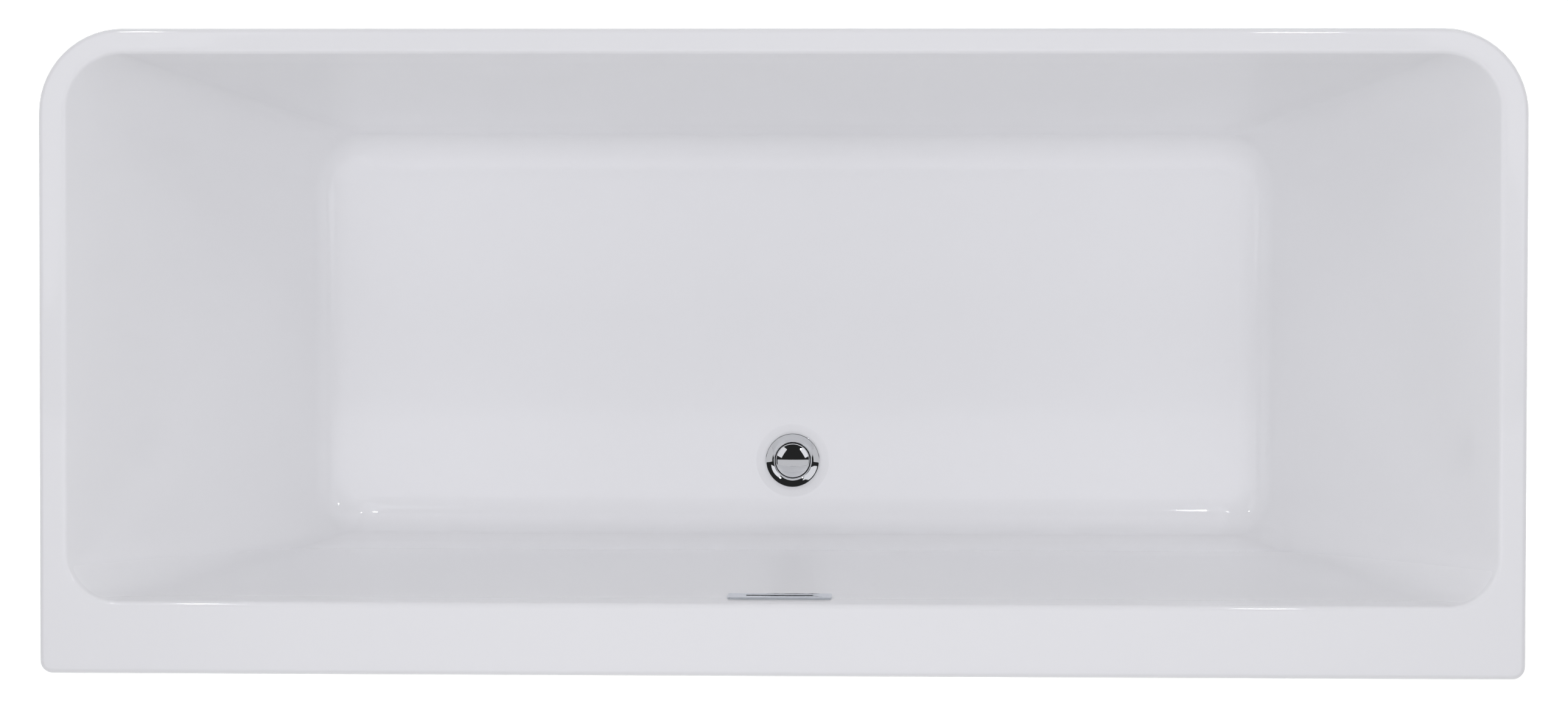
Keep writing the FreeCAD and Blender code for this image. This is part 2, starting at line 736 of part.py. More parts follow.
def foot_spots():
    """Where the feet stand: four under the outer bearers, one under the middle one."""
    outer = [
        (f"{side} * bearer_x", along) for side in ENDS for along in ("foot_front_y", "foot_wall_y")
    ]
    return outer + [("0 * bearer_x", "middle_foot_y")]


def nuts(height, top):
    """One hexagon nut round each foot stud, under a level."""
    level = f"{top} - {height}"
    solids = []
    for across, along in foot_spots():
        blank = hexagon("nut_corner", height, (across, along, level))
        bore = cylinder("stud_radius + thread_gap", height, (across, along, level))
        solids.append(cut(blank, bore))
    return group(*solids)


def make_feet():
    name_part(nuts("weld_nut_height", BEARER_BASE), "foot_nuts")
    name_part(nuts("lock_nut_height", f"{BEARER_BASE} - weld_nut_height"), "lock_nuts")
    for number, (across, along) in enumerate(foot_spots(), start=1):
        rod = cylinder("stud_radius", "stud_top - stud_bottom", (across, along, "stud_bottom"))
        flats = hexagon("stud_hex_corner", "stud_hex_height", (across, along, "stud_hex_low"))
        name_part(fuse(rod, flats), f"foot_{number}_stud")
        disc = cylinder("pad_radius", "pad_height", (across, along, "0"))
        hub = cylinder("pad_hub", "pad_hub_height", (across, along, "0"))
        depth = "pad_hub_height - pad_socket_floor"
        socket = cylinder("stud_radius + thread_gap", depth, (across, along, "pad_socket_floor"))
        name_part(cut(fuse(disc, hub), socket), f"foot_{number}_pad")


# ---- waste and push plug --------------------------------------------------------------------------

def waste_ring(outer, inner, low, high):
    return ring(outer, inner, low, high, y="waste_y")


def make_flange():
    solid = fuse(
        at_waste("flange_radius", FLANGE_BASE, FLANGE_TOP),
        at_waste("hub_radius", f"{FLANGE_BASE} - hub_drop", FLANGE_TOP),
        at_waste("neck_radius", "neck_low", FLANGE_TOP),
    )
    middle = f"({FLANGE_TOP} - dish_middle_drop)"
    bottom = f"({FLANGE_TOP} - dish_drop)"
    upper_dish = cone("dish_middle", "dish_outer", "dish_middle_drop", ("0", "waste_y", middle))
    lower_dish = cone("dish_inner", "dish_middle", f"{middle} - {bottom}", ("0", "waste_y", bottom))
    bore = at_waste("neck_bore", "neck_low", bottom)
    hollow = cut(solid, upper_dish, lower_dish, bore)
    arm = "2 * neck_bore"
    web = fuse(
        box((arm, "web_width", "web_height"), ("-neck_bore", "waste_y - web_width / 2", "web_low")),
        box(("web_width", arm, "web_height"), ("-web_width / 2", "waste_y - neck_bore", "web_low")),
        at_waste("web_boss", "web_low", "web_low + web_boss_height"),
    )
    hole = at_waste("web_hole", "web_low", "web_low + web_boss_height")
    name_part(cut(fuse(hollow, web), hole), "drain_flange")
    name_part(waste_ring("seal_radius", "seal_bore", RECESS, FLANGE_BASE), "flange_seal")


def make_waste_body():
    flange_low = f"({BODY_TOP} - body_flange_height)"
    cup_floor_low = "(cup_floor_top - cup_floor)"
    thread = "neck_radius + fit_gap"
    name_part(waste_ring("gasket_radius", "gasket_bore", BODY_TOP, UNDERSIDE), "waste_gasket")
    start = "waste_y + inlet_boss_start"
    solid = fuse(
        at_waste("body_flange_radius", flange_low, BODY_TOP),
        at_waste("cup_radius", cup_floor_low, flange_low),
        at_waste("neck_radius", "tail_low", cup_floor_low),
        cylinder("inlet_boss", "inlet_boss_end - inlet_boss_start", ("0", start, "inlet_z"), TURN_TO_Y),
        cylinder("spigot_radius", "inlet_end - inlet_boss_start", ("0", start, "inlet_z"), TURN_TO_Y),
    )
    tail = at_waste("tail_bore", "tail_low", "cup_floor_top")
    collar = at_waste(thread, "cup_floor_top", "cup_collar_top")
    cup = at_waste("cup_bore", "cup_collar_top", BODY_TOP)
    inlet = cylinder("spigot_bore", "inlet_end", ("0", "waste_y", "inlet_z"), TURN_TO_Y)
    core = at_waste("neck_radius + fit_gap", "cup_collar_top", BODY_TOP)
    side_bore = cut(inlet, core)
    name_part(cut(solid, tail, collar, cup, side_bore), "waste_body")


def make_plug():
    disc_low = "(cap_base - cap_disc)"
    seal_low = f"({disc_low} - plug_seal_height)"
    ball = doc.addObject("Part::Sphere", "ball")
    ball_radius = "(cap_radius * cap_radius + cap_rise * cap_rise) / (2 * cap_rise)"
    ball.setExpression("Radius", formula(ball_radius))
    place(ball, ("0", "waste_y", f"cap_base + cap_rise - {ball_radius}"))
    dome = doc.addObject("Part::Common", "dome")
    dome.Base = ball
    dome.Tool = at_waste("cap_radius", "cap_base", "cap_base + 2 * cap_rise")
    disc = at_waste("cap_radius", disc_low, "cap_base")
    hub = at_waste("cap_hub", seal_low, disc_low)
    name_part(fuse(dome, disc, hub), "plug_cap")
    name_part(waste_ring("plug_seal_radius", "cap_hub", seal_low, disc_low), "plug_seal")
    rod = at_waste("stem_radius", "stem_low", seal_low)
    collar = at_waste("collar_radius", "collar_low", "collar_low + collar_height")
    name_part(fuse(rod, collar), "plug_stem")


def make_cartridge():
    barrel = fuse(
        at_waste("barrel_radius", "barrel_low", "barrel_top"),
        at_waste("web_hole", "barrel_tail_low", "barrel_low"),
    )
    chamber = at_waste("barrel_bore", "barrel_bore_low", "mouth_low")
    mouth = at_waste("mouth_radius", "mouth_low", "barrel_top")
    name_part(cut(barrel, chamber, mouth), "click_cartridge")
    coil = waste_ring("spring_outer", "spring_inner", "barrel_bore_low", "collar_low")
    name_part(coil, "cartridge_spring")


# ---- overflow -------------------------------------------------------------------------------------

def make_overflow():
    plate = centred_box("plate_length", "plate_height", "-plate_depth", "plate_depth")
    doc.recompute()
    corners = [
        number for number, edge in enumerate(plate.Shape.Edges, start=1)
        if edge.BoundBox.YLength > edge.BoundBox.XLength + edge.BoundBox.ZLength
    ]
    rounded = doc.addObject("Part::Fillet", "plate_corners")
    rounded.Base = plate
    rounded.Edges = [(number, value("plate_corner"), value("plate_corner")) for number in corners]
    pan = centred_box(
        "plate_length - 2 * plate_edge", "plate_height - 2 * plate_edge", "-plate_pan", "plate_pan"
    )
    slot = centred_box("slot_length", "slot_height", "-plate_depth", "plate_depth")
    name_part(overflow_frame(cut(rounded, pan, slot)), "overflow_plate")

    flange = centred_box("insert_length", "insert_height", "-insert_flange", "insert_flange")
    sleeve = centred_box("sleeve_length", "sleeve_height", "0", "sleeve_depth")
    through = "sleeve_depth + insert_flange"
    passage = centred_box("insert_slot_length", "insert_slot_height", "-insert_flange", through)
    sides = [f"{side} * overflow_screw_x" for side in ENDS]
    holes = [
        cylinder("overflow_screw_radius", through, (side, "-insert_flange", "0"), TURN_TO_Y)
        for side in sides
    ]
    seats = [
        cylinder("overflow_screw_head", "insert_flange", (side, "-insert_flange", "0"), TURN_TO_Y)
        for side in sides
    ]
    name_part(overflow_frame(cut(fuse(flange, sleeve), passage, *holes, *seats)), "overflow_insert")

    screws = []
    for side in sides:
        head = cylinder("overflow_screw_head", "insert_flange", (side, "-insert_flange", "0"), TURN_TO_Y)
        rod = cylinder("overflow_screw_radius", "overflow_screw_end", (side, "0", "0"), TURN_TO_Y)
        screws.append(fuse(head, rod))
    name_part(overflow_frame(group(*screws)), "overflow_screws")

    back = "overflow_gasket_start + overflow_gasket"
    pad = centred_box("housing_length", "housing_height", "overflow_gasket_start", "overflow_gasket")
    window = centred_box("sleeve_length", "sleeve_height", "overflow_gasket_start", "overflow_gasket")
    name_part(overflow_frame(cut(pad, window)), "overflow_gasket")

    block = centred_box("housing_length", "housing_height", back, "housing_depth")
    chamber = centred_box(
        "insert_slot_length", "housing_cavity_height", back, "housing_depth - housing_wall"
    )
    low = "-housing_height / 2 - spigot_length"
    spigot = cylinder("spigot_radius", "spigot_length", ("0", "spigot_y", low))
    bore = cylinder("spigot_bore", "spigot_length + housing_height / 2", ("0", "spigot_y", low))
    posts = [
        cylinder("overflow_screw_radius", "overflow_screw_end", (side, "0", "0"), TURN_TO_Y)
        for side in sides
    ]
    name_part(overflow_frame(cut(fuse(block, spigot), chamber, bore, *posts)), "overflow_housing")


def make_hose():
    """The overflow hose: down behind the wall in line with the spigot, one bend, into the waste."""
    frame = overflow_placement()
    down = frame.Rotation.multVec(FreeCAD.Vector(0, 0, -1))
    top = frame.multVec(
        FreeCAD.Vector(0, value("spigot_y"), -value("housing_height / 2 + hose_start"))
    )
    level = value("inlet_z")
    corner = top + down * ((top.z - level) / -down.z)
    along = FreeCAD.Vector(0, -1, 0)
    end = FreeCAD.Vector(0, value("waste_y + hose_end"), level)
    turn = down.getAngle(along)
    radius = value("hose_bend")
    reach = radius * math.tan(turn / 2)
    bend_start = corner - down * reach
    bend_end = corner + along * reach
    centre = bend_end + FreeCAD.Vector(0, 0, radius)
    middle = centre + (corner - centre).normalize() * radius
    path = Part.Wire([
        Part.LineSegment(top, bend_start).toShape(),
        Part.Arc(bend_start, middle, bend_end).toShape(),
        Part.LineSegment(bend_end, end).toShape(),
    ])
    circles = [Part.makeCircle(value(size), top, down) for size in ("hose_radius", "hose_bore")]
    outer, inner = [path.makePipe(Part.Face(Part.Wire(circle))) for circle in circles]
    hose = doc.addObject("Part::Feature", "hose")
    hose.Shape = outer.cut(inner)
    section = math.pi * (value("hose_radius") ** 2 - value("hose_bore") ** 2)
    print(f"overflow hose: length {path.Length:.1f}, bend radius {radius:.1f},",
          f"volume over section times length {hose.Shape.Volume / (section * path.Length):.4f}")
    name_part(hose, "overflow_hose")

    low = "-housing_height / 2 - hose_nut_length"
    nut = cut(
        cylinder("hose_nut_radius", "hose_nut_length", ("0", "spigot_y", low)),
        cylinder("hose_nut_bore", "hose_nut_length", ("0", "spigot_y", low)),
    )
    name_part(overflow_frame(nut), "hose_nut_top")
    start = "waste_y + inlet_boss_end"
    lower = ring_y("hose_nut_radius", "hose_nut_bore", start, f"{start} + hose_nut_length", "inlet_z")
    name_part(lower, "hose_nut_bottom")


# ---- trap and outlet ------------------------------------------------------------------------------

def make_trap():
    nut = waste_ring(
        "trap_nut_radius", "neck_radius + fit_gap", "trap_nut_low", "trap_nut_low + trap_nut_height"
    )
    name_part(nut, "trap_nut")
    solid = fuse(
        at_waste("trap_radius", "trap_low", "trap_top"),
        at_waste("trap_neck", "trap_top", "trap_nut_low"),
        cylinder("socket_radius", "socket_end - waste_y", ("0", "waste_y", "outlet_z"), TURN_TO_Y),
    )
    chamber = at_waste("trap_radius - trap_wall", "trap_low + trap_wall", "trap_top - trap_wall")
    mouth = at_waste("tail_bore", "trap_top - trap_wall", "trap_nut_low")
    passage = cylinder("outlet_bore", "socket_end - waste_y", ("0", "waste_y", "outlet_z"), TURN_TO_Y)
    socket = cylinder(
        "outlet_radius", "socket_end - outlet_start", ("0", "outlet_start", "outlet_z"), TURN_TO_Y
    )
    name_part(cut(solid, chamber, mouth, passage, socket), "trap_body")
    name_part(waste_ring("dip_radius", "dip_bore", "dip_low", "trap_nut_low"), "dip_tube")
    nut_end = "socket_end + outlet_nut_length"
    pipe = fuse(
        ring_y("outlet_spigot", "outlet_bore", "outlet_start", nut_end, "outlet_z"),
        ring_y("outlet_radius", "outlet_bore", nut_end, "outlet_end", "outlet_z"),
    )
    name_part(pipe, "outlet_pipe")
    outlet_nut = ring_y("outlet_nut_radius", "outlet_radius", "socket_end", nut_end, "outlet_z")
    name_part(outlet_nut, "outlet_nut")


def main():
    make_shell()
    make_backing()
    make_board()
    make_skirt()
    make_bead()
    make_battens()
    make_rails()
    make_bearers()
    make_screws()
    make_straps()
    make_feet()
    make_flange()
    make_waste_body()
    make_plug()
    make_cartridge()
    make_overflow()
    make_hose()
    make_trap()
    doc.recompute()
    for item in doc.Objects:
        if {"Invalid", "Error"} & set(item.State):
            raise RuntimeError(f"{item.Name} failed: {item.State}")
    os.makedirs("parts", exist_ok=True)
    for item in PARTS:
        if item.Shape.isNull() or not item.Shape.isValid() or not item.Shape.Solids:
            raise RuntimeError(f"{item.Label} has no valid solid")
        item.Shape.exportStep(f"parts/{item.Label}.step")
    print(f"{len(PARTS)} sub-parts")


main()
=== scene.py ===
from math import asin, atan2, cos, pi, radians, sin, tan

import bmesh
import bpy
from mathutils import Matrix, Vector, noise


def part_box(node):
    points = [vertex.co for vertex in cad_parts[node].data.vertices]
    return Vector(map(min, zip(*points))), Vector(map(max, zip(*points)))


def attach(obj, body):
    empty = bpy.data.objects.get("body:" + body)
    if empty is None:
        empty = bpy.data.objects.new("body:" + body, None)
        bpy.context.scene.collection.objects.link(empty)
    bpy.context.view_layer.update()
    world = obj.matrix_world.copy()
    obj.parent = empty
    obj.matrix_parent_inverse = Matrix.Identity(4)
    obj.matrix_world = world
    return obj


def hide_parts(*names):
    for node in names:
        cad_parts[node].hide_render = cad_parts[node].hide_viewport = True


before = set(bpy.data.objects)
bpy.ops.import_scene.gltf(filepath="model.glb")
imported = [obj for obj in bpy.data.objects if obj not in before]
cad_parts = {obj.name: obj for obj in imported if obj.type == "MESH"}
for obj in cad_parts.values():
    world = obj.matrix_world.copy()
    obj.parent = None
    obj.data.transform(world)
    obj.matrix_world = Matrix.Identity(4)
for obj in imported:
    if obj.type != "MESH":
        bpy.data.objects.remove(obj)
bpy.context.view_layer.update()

MM = 0.001
UP = Vector((0, 0, 1))
TO_WALL = Vector((0, 1, 0))

# ---- material nodes


def opaque(shade):
    """A grey or a colour with its alpha. The output of a node stays as it is."""
    if isinstance(shade, (int, float)):
        return (shade, shade, shade, 1)
    return (*shade, 1) if isinstance(shade, tuple) else shade


class Finish:
    """One procedural material: a shader and the nodes that vary it over the surface."""

    def __init__(self, name, colour, roughness, metal=0.0, **sockets):
        self.material = bpy.data.materials.new(name)
        self.material.use_nodes = True
        self.tree = self.material.node_tree
        self.shader = self.tree.nodes["Principled BSDF"]
        self.place = self.node("TexCoord")["Object"]
        self.set("Base Color", (*colour, 1))
        self.set("Roughness", roughness)
        self.set("Metallic", metal)
        for socket, amount in sockets.items():
            self.set(socket.replace("_", " "), amount)
        self.height = None

    def set(self, socket, amount):
        self.shader.inputs[socket].default_value = amount

    def feed(self, socket, source):
        self.tree.links.new(source, self.shader.inputs[socket])
        return self

    def node(self, kind, inputs=(), **settings):
        """The outputs of a new node. Its inputs are (socket, source or constant) pairs."""
        node = self.tree.nodes.new("ShaderNode" + kind)
        for setting, value in settings.items():
            setattr(node, setting, value)
        for socket, source in inputs:
            if isinstance(source, bpy.types.NodeSocket):
                self.tree.links.new(source, node.inputs[socket])
            else:
                node.inputs[socket].default_value = source
        return node.outputs

    def stretched(self, scale, turn=(0, 0, 0)):
        return self.node("Mapping", [("Vector", self.place), ("Scale", scale), ("Rotation", turn)])["Vector"]

    def noise(self, scale, detail=4.0, rough=0.55, place=None, distortion=0.0):
        return self.node("TexNoise", [
            ("Vector", place or self.place), ("Scale", scale), ("Detail", detail), ("Roughness", rough),
            ("Distortion", distortion),
        ])["Fac"]

    def cells(self, scale, place=None, output="Distance"):
        return self.node("TexVoronoi", [("Vector", place or self.place), ("Scale", scale)])[output]

    def ramp(self, factor, *stops):
        """Maps a factor through (position, colour or grey) stops."""
        node = self.tree.nodes.new("ShaderNodeValToRGB")
        elements = node.color_ramp.elements
        while len(elements) < len(stops):
            elements.new(1.0)
        for element, (position, shade) in zip(elements, stops):
            element.position = position
            element.color = opaque(shade)
        self.tree.links.new(factor, node.inputs["Fac"])
        return node.outputs["Color"]

    def mix(self, first, second, factor, blend="MIX"):
        inputs = [(6, opaque(first)), (7, opaque(second)), (0, factor)]
        return self.node("Mix", inputs, data_type="RGBA", blend_type=blend)[2]

    def add(self, first, second, scale=1.0):
        return self.node("Math", [(0, second), (1, scale), (2, first)], operation="MULTIPLY_ADD")[0]

    def colour(self, source):
        return self.feed("Base Color", source)

    def roughness(self, source):
        return self.feed("Roughness", source)

    def bump(self, source, depth):
        """Relief of a stated depth in metres."""
        inputs = [("Strength", 1.0), ("Distance", depth), ("Height", source)]
        if self.height:
            inputs.append(("Normal", self.height))
        self.height = self.node("Bump", inputs)["Normal"]
        return self.feed("Normal", self.height)


def mottled(name, colour, roughness, spread=0.04, scale=30.0, relief=0.0, relief_scale=400.0,
            gloss_spread=0.04, metal=0.0, **sockets):
    """A finish whose colour, gloss and relief wander a little over the surface."""
    item = Finish(name, colour, roughness, metal, **sockets)
    patches = item.noise(scale, detail=5)
    dark = tuple(max(c * (1 - spread), 0) for c in colour)
    light = tuple(min(c * (1 + spread), 1) for c in colour)
    item.colour(item.ramp(patches, (0.3, dark), (0.7, light)))
    fine = item.noise(scale * 6, detail=6)
    low, high = max(roughness - gloss_spread, 0.01), roughness + gloss_spread
    item.roughness(item.ramp(fine, (0.3, low), (0.75, high)))
    if relief:
        item.bump(item.noise(relief_scale, detail=3), relief)
    return item


def acrylic_finish(name, colour):
    """Cast acrylic: deep gloss, hair-fine wipe marks, and a duller steep wall on the wall side."""
    item = mottled(name, colour, 0.07, spread=0.006, scale=3.0, gloss_spread=0.0, IOR=1.49)
    wipes = item.noise(1.0, detail=3, place=item.stretched((900, 60, 900), (0, 0, 0.5)))
    dust = item.noise(700, detail=2)
    gloss = item.ramp(item.add(wipes, dust, 0.4), (0.62, 0.05), (0.95, 0.09))
    split = item.node("SeparateXYZ", [("Vector", item.place)])
    steep = item.ramp(split["Y"], (0.236, 0.0), (0.250, 1.0), (0.284, 1.0), (0.286, 0.0))
    inside = item.ramp(split["Z"], (0.190, 0.0), (0.230, 1.0), (0.573, 1.0), (0.576, 0.0))
    dull = item.mix(steep, inside, 1.0, "MULTIPLY")
    item.roughness(item.mix(gloss, 0.34, dull))
    item.bump(item.noise(9.0, detail=1), 0.00008)
    item.bump(item.noise(160.0, detail=1), 0.000003)
    return item.material


def fibre_finish():
    """Chopped strand mat in polyester resin, sprayed on the back of the acrylic."""
    item = Finish("glass_fibre", (0.78, 0.76, 0.66), 0.4, IOR=1.52)
    strands = None
    for turn in (0.0, 0.7, 1.5, 2.3):
        layer = item.noise(1.0, detail=2, place=item.stretched((40, 620, 330), (0.3, turn, turn)))
        layer = item.ramp(layer, (0.56, 0.0), (0.62, 1.0))
        strands = layer if strands is None else item.mix(strands, layer, 1.0, "LIGHTEN")
    blotch = item.noise(14, detail=5)
    resin = item.ramp(blotch, (0.3, (0.60, 0.58, 0.47)), (0.7, (0.74, 0.72, 0.62)))
    item.colour(item.mix(resin, (0.86, 0.86, 0.80), strands))
    item.roughness(item.ramp(item.noise(60, detail=4), (0.3, 0.22), (0.7, 0.5)))
    item.bump(strands, 0.0005).bump(item.noise(45, detail=6, rough=0.7), 0.0022)
    return item.material


def board_finish():
    """Resin-bonded particle board, its chips pressed flat."""
    item = Finish("particle_board", (0.62, 0.48, 0.31), 0.65)
    chips = item.cells(260, output="Color", place=item.stretched((1.0, 1.8, 2.6)))
    tone = item.ramp(chips, (0.1, (0.42, 0.30, 0.17)), (0.5, (0.60, 0.46, 0.28)), (0.9, (0.72, 0.59, 0.40)))
    dust = item.noise(900, detail=3)
    item.colour(item.mix(tone, item.ramp(dust, (0.3, 0.25), (0.7, 0.6)), 0.18, "OVERLAY"))
    item.roughness(item.ramp(chips, (0.0, 0.5), (1.0, 0.8)))
    item.bump(item.cells(260, place=item.stretched((1.0, 1.8, 2.6))), 0.0004)
    return item.material


def timber_finish():
    """Planed softwood, grain along X."""
    item = Finish("softwood", (0.72, 0.55, 0.34), 0.55)
    bend = item.stretched((1.2, 60, 60))
    rings = item.noise(1.3, detail=3, place=bend, distortion=0.6)
    late = item.ramp(rings, (0.38, (0.76, 0.60, 0.39)), (0.52, (0.66, 0.46, 0.26)), (0.60, (0.75, 0.58, 0.37)))
    fibres = item.noise(1.0, detail=4, place=item.stretched((30, 900, 900)))
    item.colour(item.mix(late, item.ramp(fibres, (0.3, 0.35), (0.7, 0.65)), 0.35, "OVERLAY"))
    item.roughness(item.ramp(fibres, (0.2, 0.42), (0.8, 0.68)))
    item.bump(rings, 0.0003).bump(fibres, 0.00012)
    return item.material


def galvanised_finish(name, colour, scale):
    """Zinc-coated steel: spangle, dull patches and rub marks."""
    item = Finish(name, colour, 0.36, 1.0)
    spangle = item.cells(scale, output="Color")
    dark, light = tuple(c * 0.78 for c in colour), tuple(min(c * 1.15, 1) for c in colour)
    grey = item.ramp(spangle, (0.0, dark), (1.0, light))
    dull = item.noise(18, detail=6)
    item.colour(item.mix(grey, tuple(c * 0.7 for c in colour), item.ramp(dull, (0.5, 0.0), (0.75, 0.6))))
    item.roughness(item.ramp(item.add(dull, spangle, 0.3), (0.3, 0.24), (0.9, 0.55)))
    item.bump(item.cells(scale), 0.00004).bump(item.noise(500, detail=2), 0.00002)
    return item.material


def chrome_finish(name, colour):
    """Bright chrome plate with the faintest haze and polishing lines."""
    item = Finish(name, colour, 0.03, 1.0)
    haze = item.noise(60, detail=5)
    item.roughness(item.ramp(haze, (0.35, 0.012), (0.8, 0.035)))
    item.bump(item.noise(1400, detail=1), 0.0000006)
    return item.material


def studio_floor_finish():
    """The plain white studio floor, faintly uneven, glowing a little round the object."""
    item = Finish("studio_floor", (0.93, 0.93, 0.93), 0.6, Specular_IOR_Level=0.1)
    item.colour(item.ramp(item.noise(0.8, detail=2), (0.3, 0.92), (0.7, 0.94)))
    place = item.stretched((0.125, 0.125, 0.125))
    nearness = item.node("TexGradient", [("Vector", place)], gradient_type="SPHERICAL")["Fac"]
    item.set("Emission Color", (1, 1, 1, 1))
    return item.feed("Emission Strength", item.ramp(nearness, (0.0, 0.22), (0.6, 0.56))).material


FINISHES = {
    "acrylic": acrylic_finish("white_acrylic", (0.943, 0.944, 0.951)),
    "skirt_acrylic": acrylic_finish("white_acrylic_skirt", (0.93, 0.931, 0.938)),
    "glass_fibre": fibre_finish(),
    "board": board_finish(),
    "timber": timber_finish(),
    "frame_steel": galvanised_finish("galvanised_steel", (0.60, 0.61, 0.62), 120),
    "zinc_steel": galvanised_finish("zinc_plated_steel", (0.68, 0.68, 0.66), 700),
    "chrome": chrome_finish("chrome", (0.86, 0.87, 0.88)),
    # painted shade: a darker, bluer copy of the chrome that stands in for the dim grey-blue reflection on the
    # overflow plate
    "chrome_painted_shade": chrome_finish("chrome_painted_shade", (0.66, 0.69, 0.73)),
}
for slot_name, material_name, shade, gloss, relief_depth, relief_size, others in (
    ("sealant", "silicone", (0.80, 0.80, 0.79), 0.35, 0.0002, 90, {}),
    ("foot_plastic", "black_nylon", (0.022, 0.022, 0.024), 0.42, 0.00006, 1500, {"spread": 0.2}),
    ("rubber", "black_rubber", (0.018, 0.018, 0.018), 0.7, 0.00008, 1200, {"spread": 0.25}),
    ("brass", "turned_brass", (0.72, 0.53, 0.24), 0.24, 0.00001, 2500, {"metal": 1.0}),
    ("spring_steel", "spring_wire", (0.55, 0.55, 0.56), 0.22, 0.0, 400, {"metal": 1.0}),
    ("waste_plastic", "white_polypropylene", (0.72, 0.73, 0.72), 0.34, 0.00005, 900,
     {"spread": 0.03, "Subsurface_Weight": 0.05}),
    ("hose_plastic", "grey_hose", (0.50, 0.51, 0.52), 0.38, 0.00004, 1100, {"spread": 0.04}),
    ("pipe_plastic", "white_pvc", (0.76, 0.76, 0.74), 0.3, 0.00003, 700, {"spread": 0.02}),
):
    FINISHES[slot_name] = mottled(
        material_name, shade, gloss, relief=relief_depth, relief_scale=relief_size, **others
    ).material


# ---- mesh helpers

SHARP = radians(38)


def placed(name, data):
    """A new object in the scene."""
    item = bpy.data.objects.new(name, data)
    bpy.context.scene.collection.objects.link(item)
    return item


def new_object(name, vertices, faces):
    mesh = bpy.data.meshes.new(name)
    mesh.from_pydata([tuple(v) for v in vertices], [], faces)
    return placed(name, mesh)


def tidy_mesh(item, merge=1e-6, sharp=SHARP):
    """Welds, turns the faces outwards and marks the hard edges."""
    work = bmesh.new()
    work.from_mesh(item.data)
    bmesh.ops.remove_doubles(work, verts=work.verts, dist=merge)
    bmesh.ops.dissolve_degenerate(work, edges=work.edges, dist=merge)
    bmesh.ops.recalc_face_normals(work, faces=work.faces)
    bmesh.ops.delete(work, geom=[edge for edge in work.edges if not edge.link_faces], context="EDGES")
    work.to_mesh(item.data)
    work.free()
    item.data.shade_smooth()
    item.data.set_sharp_from_angle(angle=sharp)
    return item


def dress(item, node, slot, sharp=SHARP, body="bath", merge=1e-6, finish=None):
    """Makes a mesh the visible piece of a CAD node."""
    tidy_mesh(item, merge, sharp)
    item.data.materials.clear()
    item.data.materials.append(FINISHES[finish or slot])
    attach(item, body)
    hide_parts(node)
    return item


def loft(rings, looped=False, plates=()):
    """Vertices and faces that join rings of equally many points, closed by end faces unless looped.

    A ring listed in plates is joined to the next by two large flat faces.
    """
    count = len(rings[0])
    vertices = [point for ring in rings for point in ring]
    faces = []
    pairs = list(zip(range(len(rings)), range(1, len(rings))))
    if looped:
        pairs.append((len(rings) - 1, 0))
    for low, high in pairs:
        if low in plates:
            faces += plate_faces(rings, low, high)
            continue
        for k in range(count):
            following = (k + 1) % count
            faces.append((
                low * count + k, low * count + following, high * count + following, high * count + k,
            ))
    if not looped:
        faces.append(tuple(reversed(range(count))))
        faces.append(tuple((len(rings) - 1) * count + k for k in range(count)))
    return vertices, faces


def lofted(name, rings, **how):
    return tidy_mesh(new_object(name, *loft(rings, **how)))


def heading(point):
    return atan2(point.y - WASTE.y, point.x - WASTE.x)


def plate_faces(rings, low, high):
    """Two faces between an outline and the circle round the waste inside it, in either order."""
    count = len(rings[low])
    half = count // 2
    outline, circle = sorted((low, high), key=lambda ring: -abs(rings[ring][0].x - WASTE.x))
    start = heading(rings[outline][0])
    opposite = min(range(count), key=lambda k: abs(cos(heading(rings[outline][k]) - start) + 1))
    along = [outline * count + k for k in range(count)] + [outline * count]
    round_hole = [circle * count + k for k in range(count)] + [circle * count]
    return [
        tuple(along[:opposite + 1] + round_hole[half::-1]),
        tuple(along[opposite:] + round_hole[:half - 1:-1]),
    ]


def soften(points, radius, steps=3):
    """Rounds every corner of a closed 2-D outline. A point may carry its own radius as a third value."""
    rounded = []
    count = len(points)
    for i, point in enumerate(points):
        here = Vector(point[:2])
        before = Vector(points[i - 1][:2]) - here
        after = Vector(points[(i + 1) % count][:2]) - here
        reach = point[2] if len(point) > 2 else radius
        angle = before.angle(after, 0.0) if before.length and after.length else 0.0
        if reach <= 0 or angle < 0.05 or angle > 3.09:
            rounded.append(here)
            continue
        cut = min(reach / tan(angle / 2), 0.45 * before.length, 0.45 * after.length)
        bend = cut * tan(angle / 2)
        middle = here + (before.normalized() + after.normalized()).normalized() * (bend / sin(angle / 2))
        start, end = here + before.normalized() * cut, here + after.normalized() * cut
        first, last = start - middle, end - middle
        for k in range(steps + 1):
            blended = first.lerp(last, k / steps)
            rounded.append(middle + blended.normalized() * first.length)
    return rounded


def lathe(name, outline, steps, shape, at):
    """Turns a closed outline of (radius, height) about a line.

    shape(angle, radius, height) may change the radius and the height of each point.
    """
    rings = []
    for k in range(steps):
        angle = 2 * pi * k / steps
        ring = []
        for radius, height in outline:
            radius, height = shape(angle, radius, height) if shape else (radius, height)
            ring.append(at @ Vector((radius * cos(angle), radius * sin(angle), height)))
        rings.append(ring)
    return lofted(name, rings, looped=True)


def over(point):
    """The upright line through a point."""
    return Matrix.Translation((point.x, point.y, 0))


def frame_on(origin, axis, across=Vector((1, 0, 0))):
    """The matrix that puts the lathe's line along an axis."""
    axis = axis.normalized()
    across = (across - axis * across.dot(axis)).normalized()
    side = axis.cross(across)
    turn = Matrix((across, side, axis)).transposed()
    return Matrix.Translation(origin) @ turn.to_4x4()


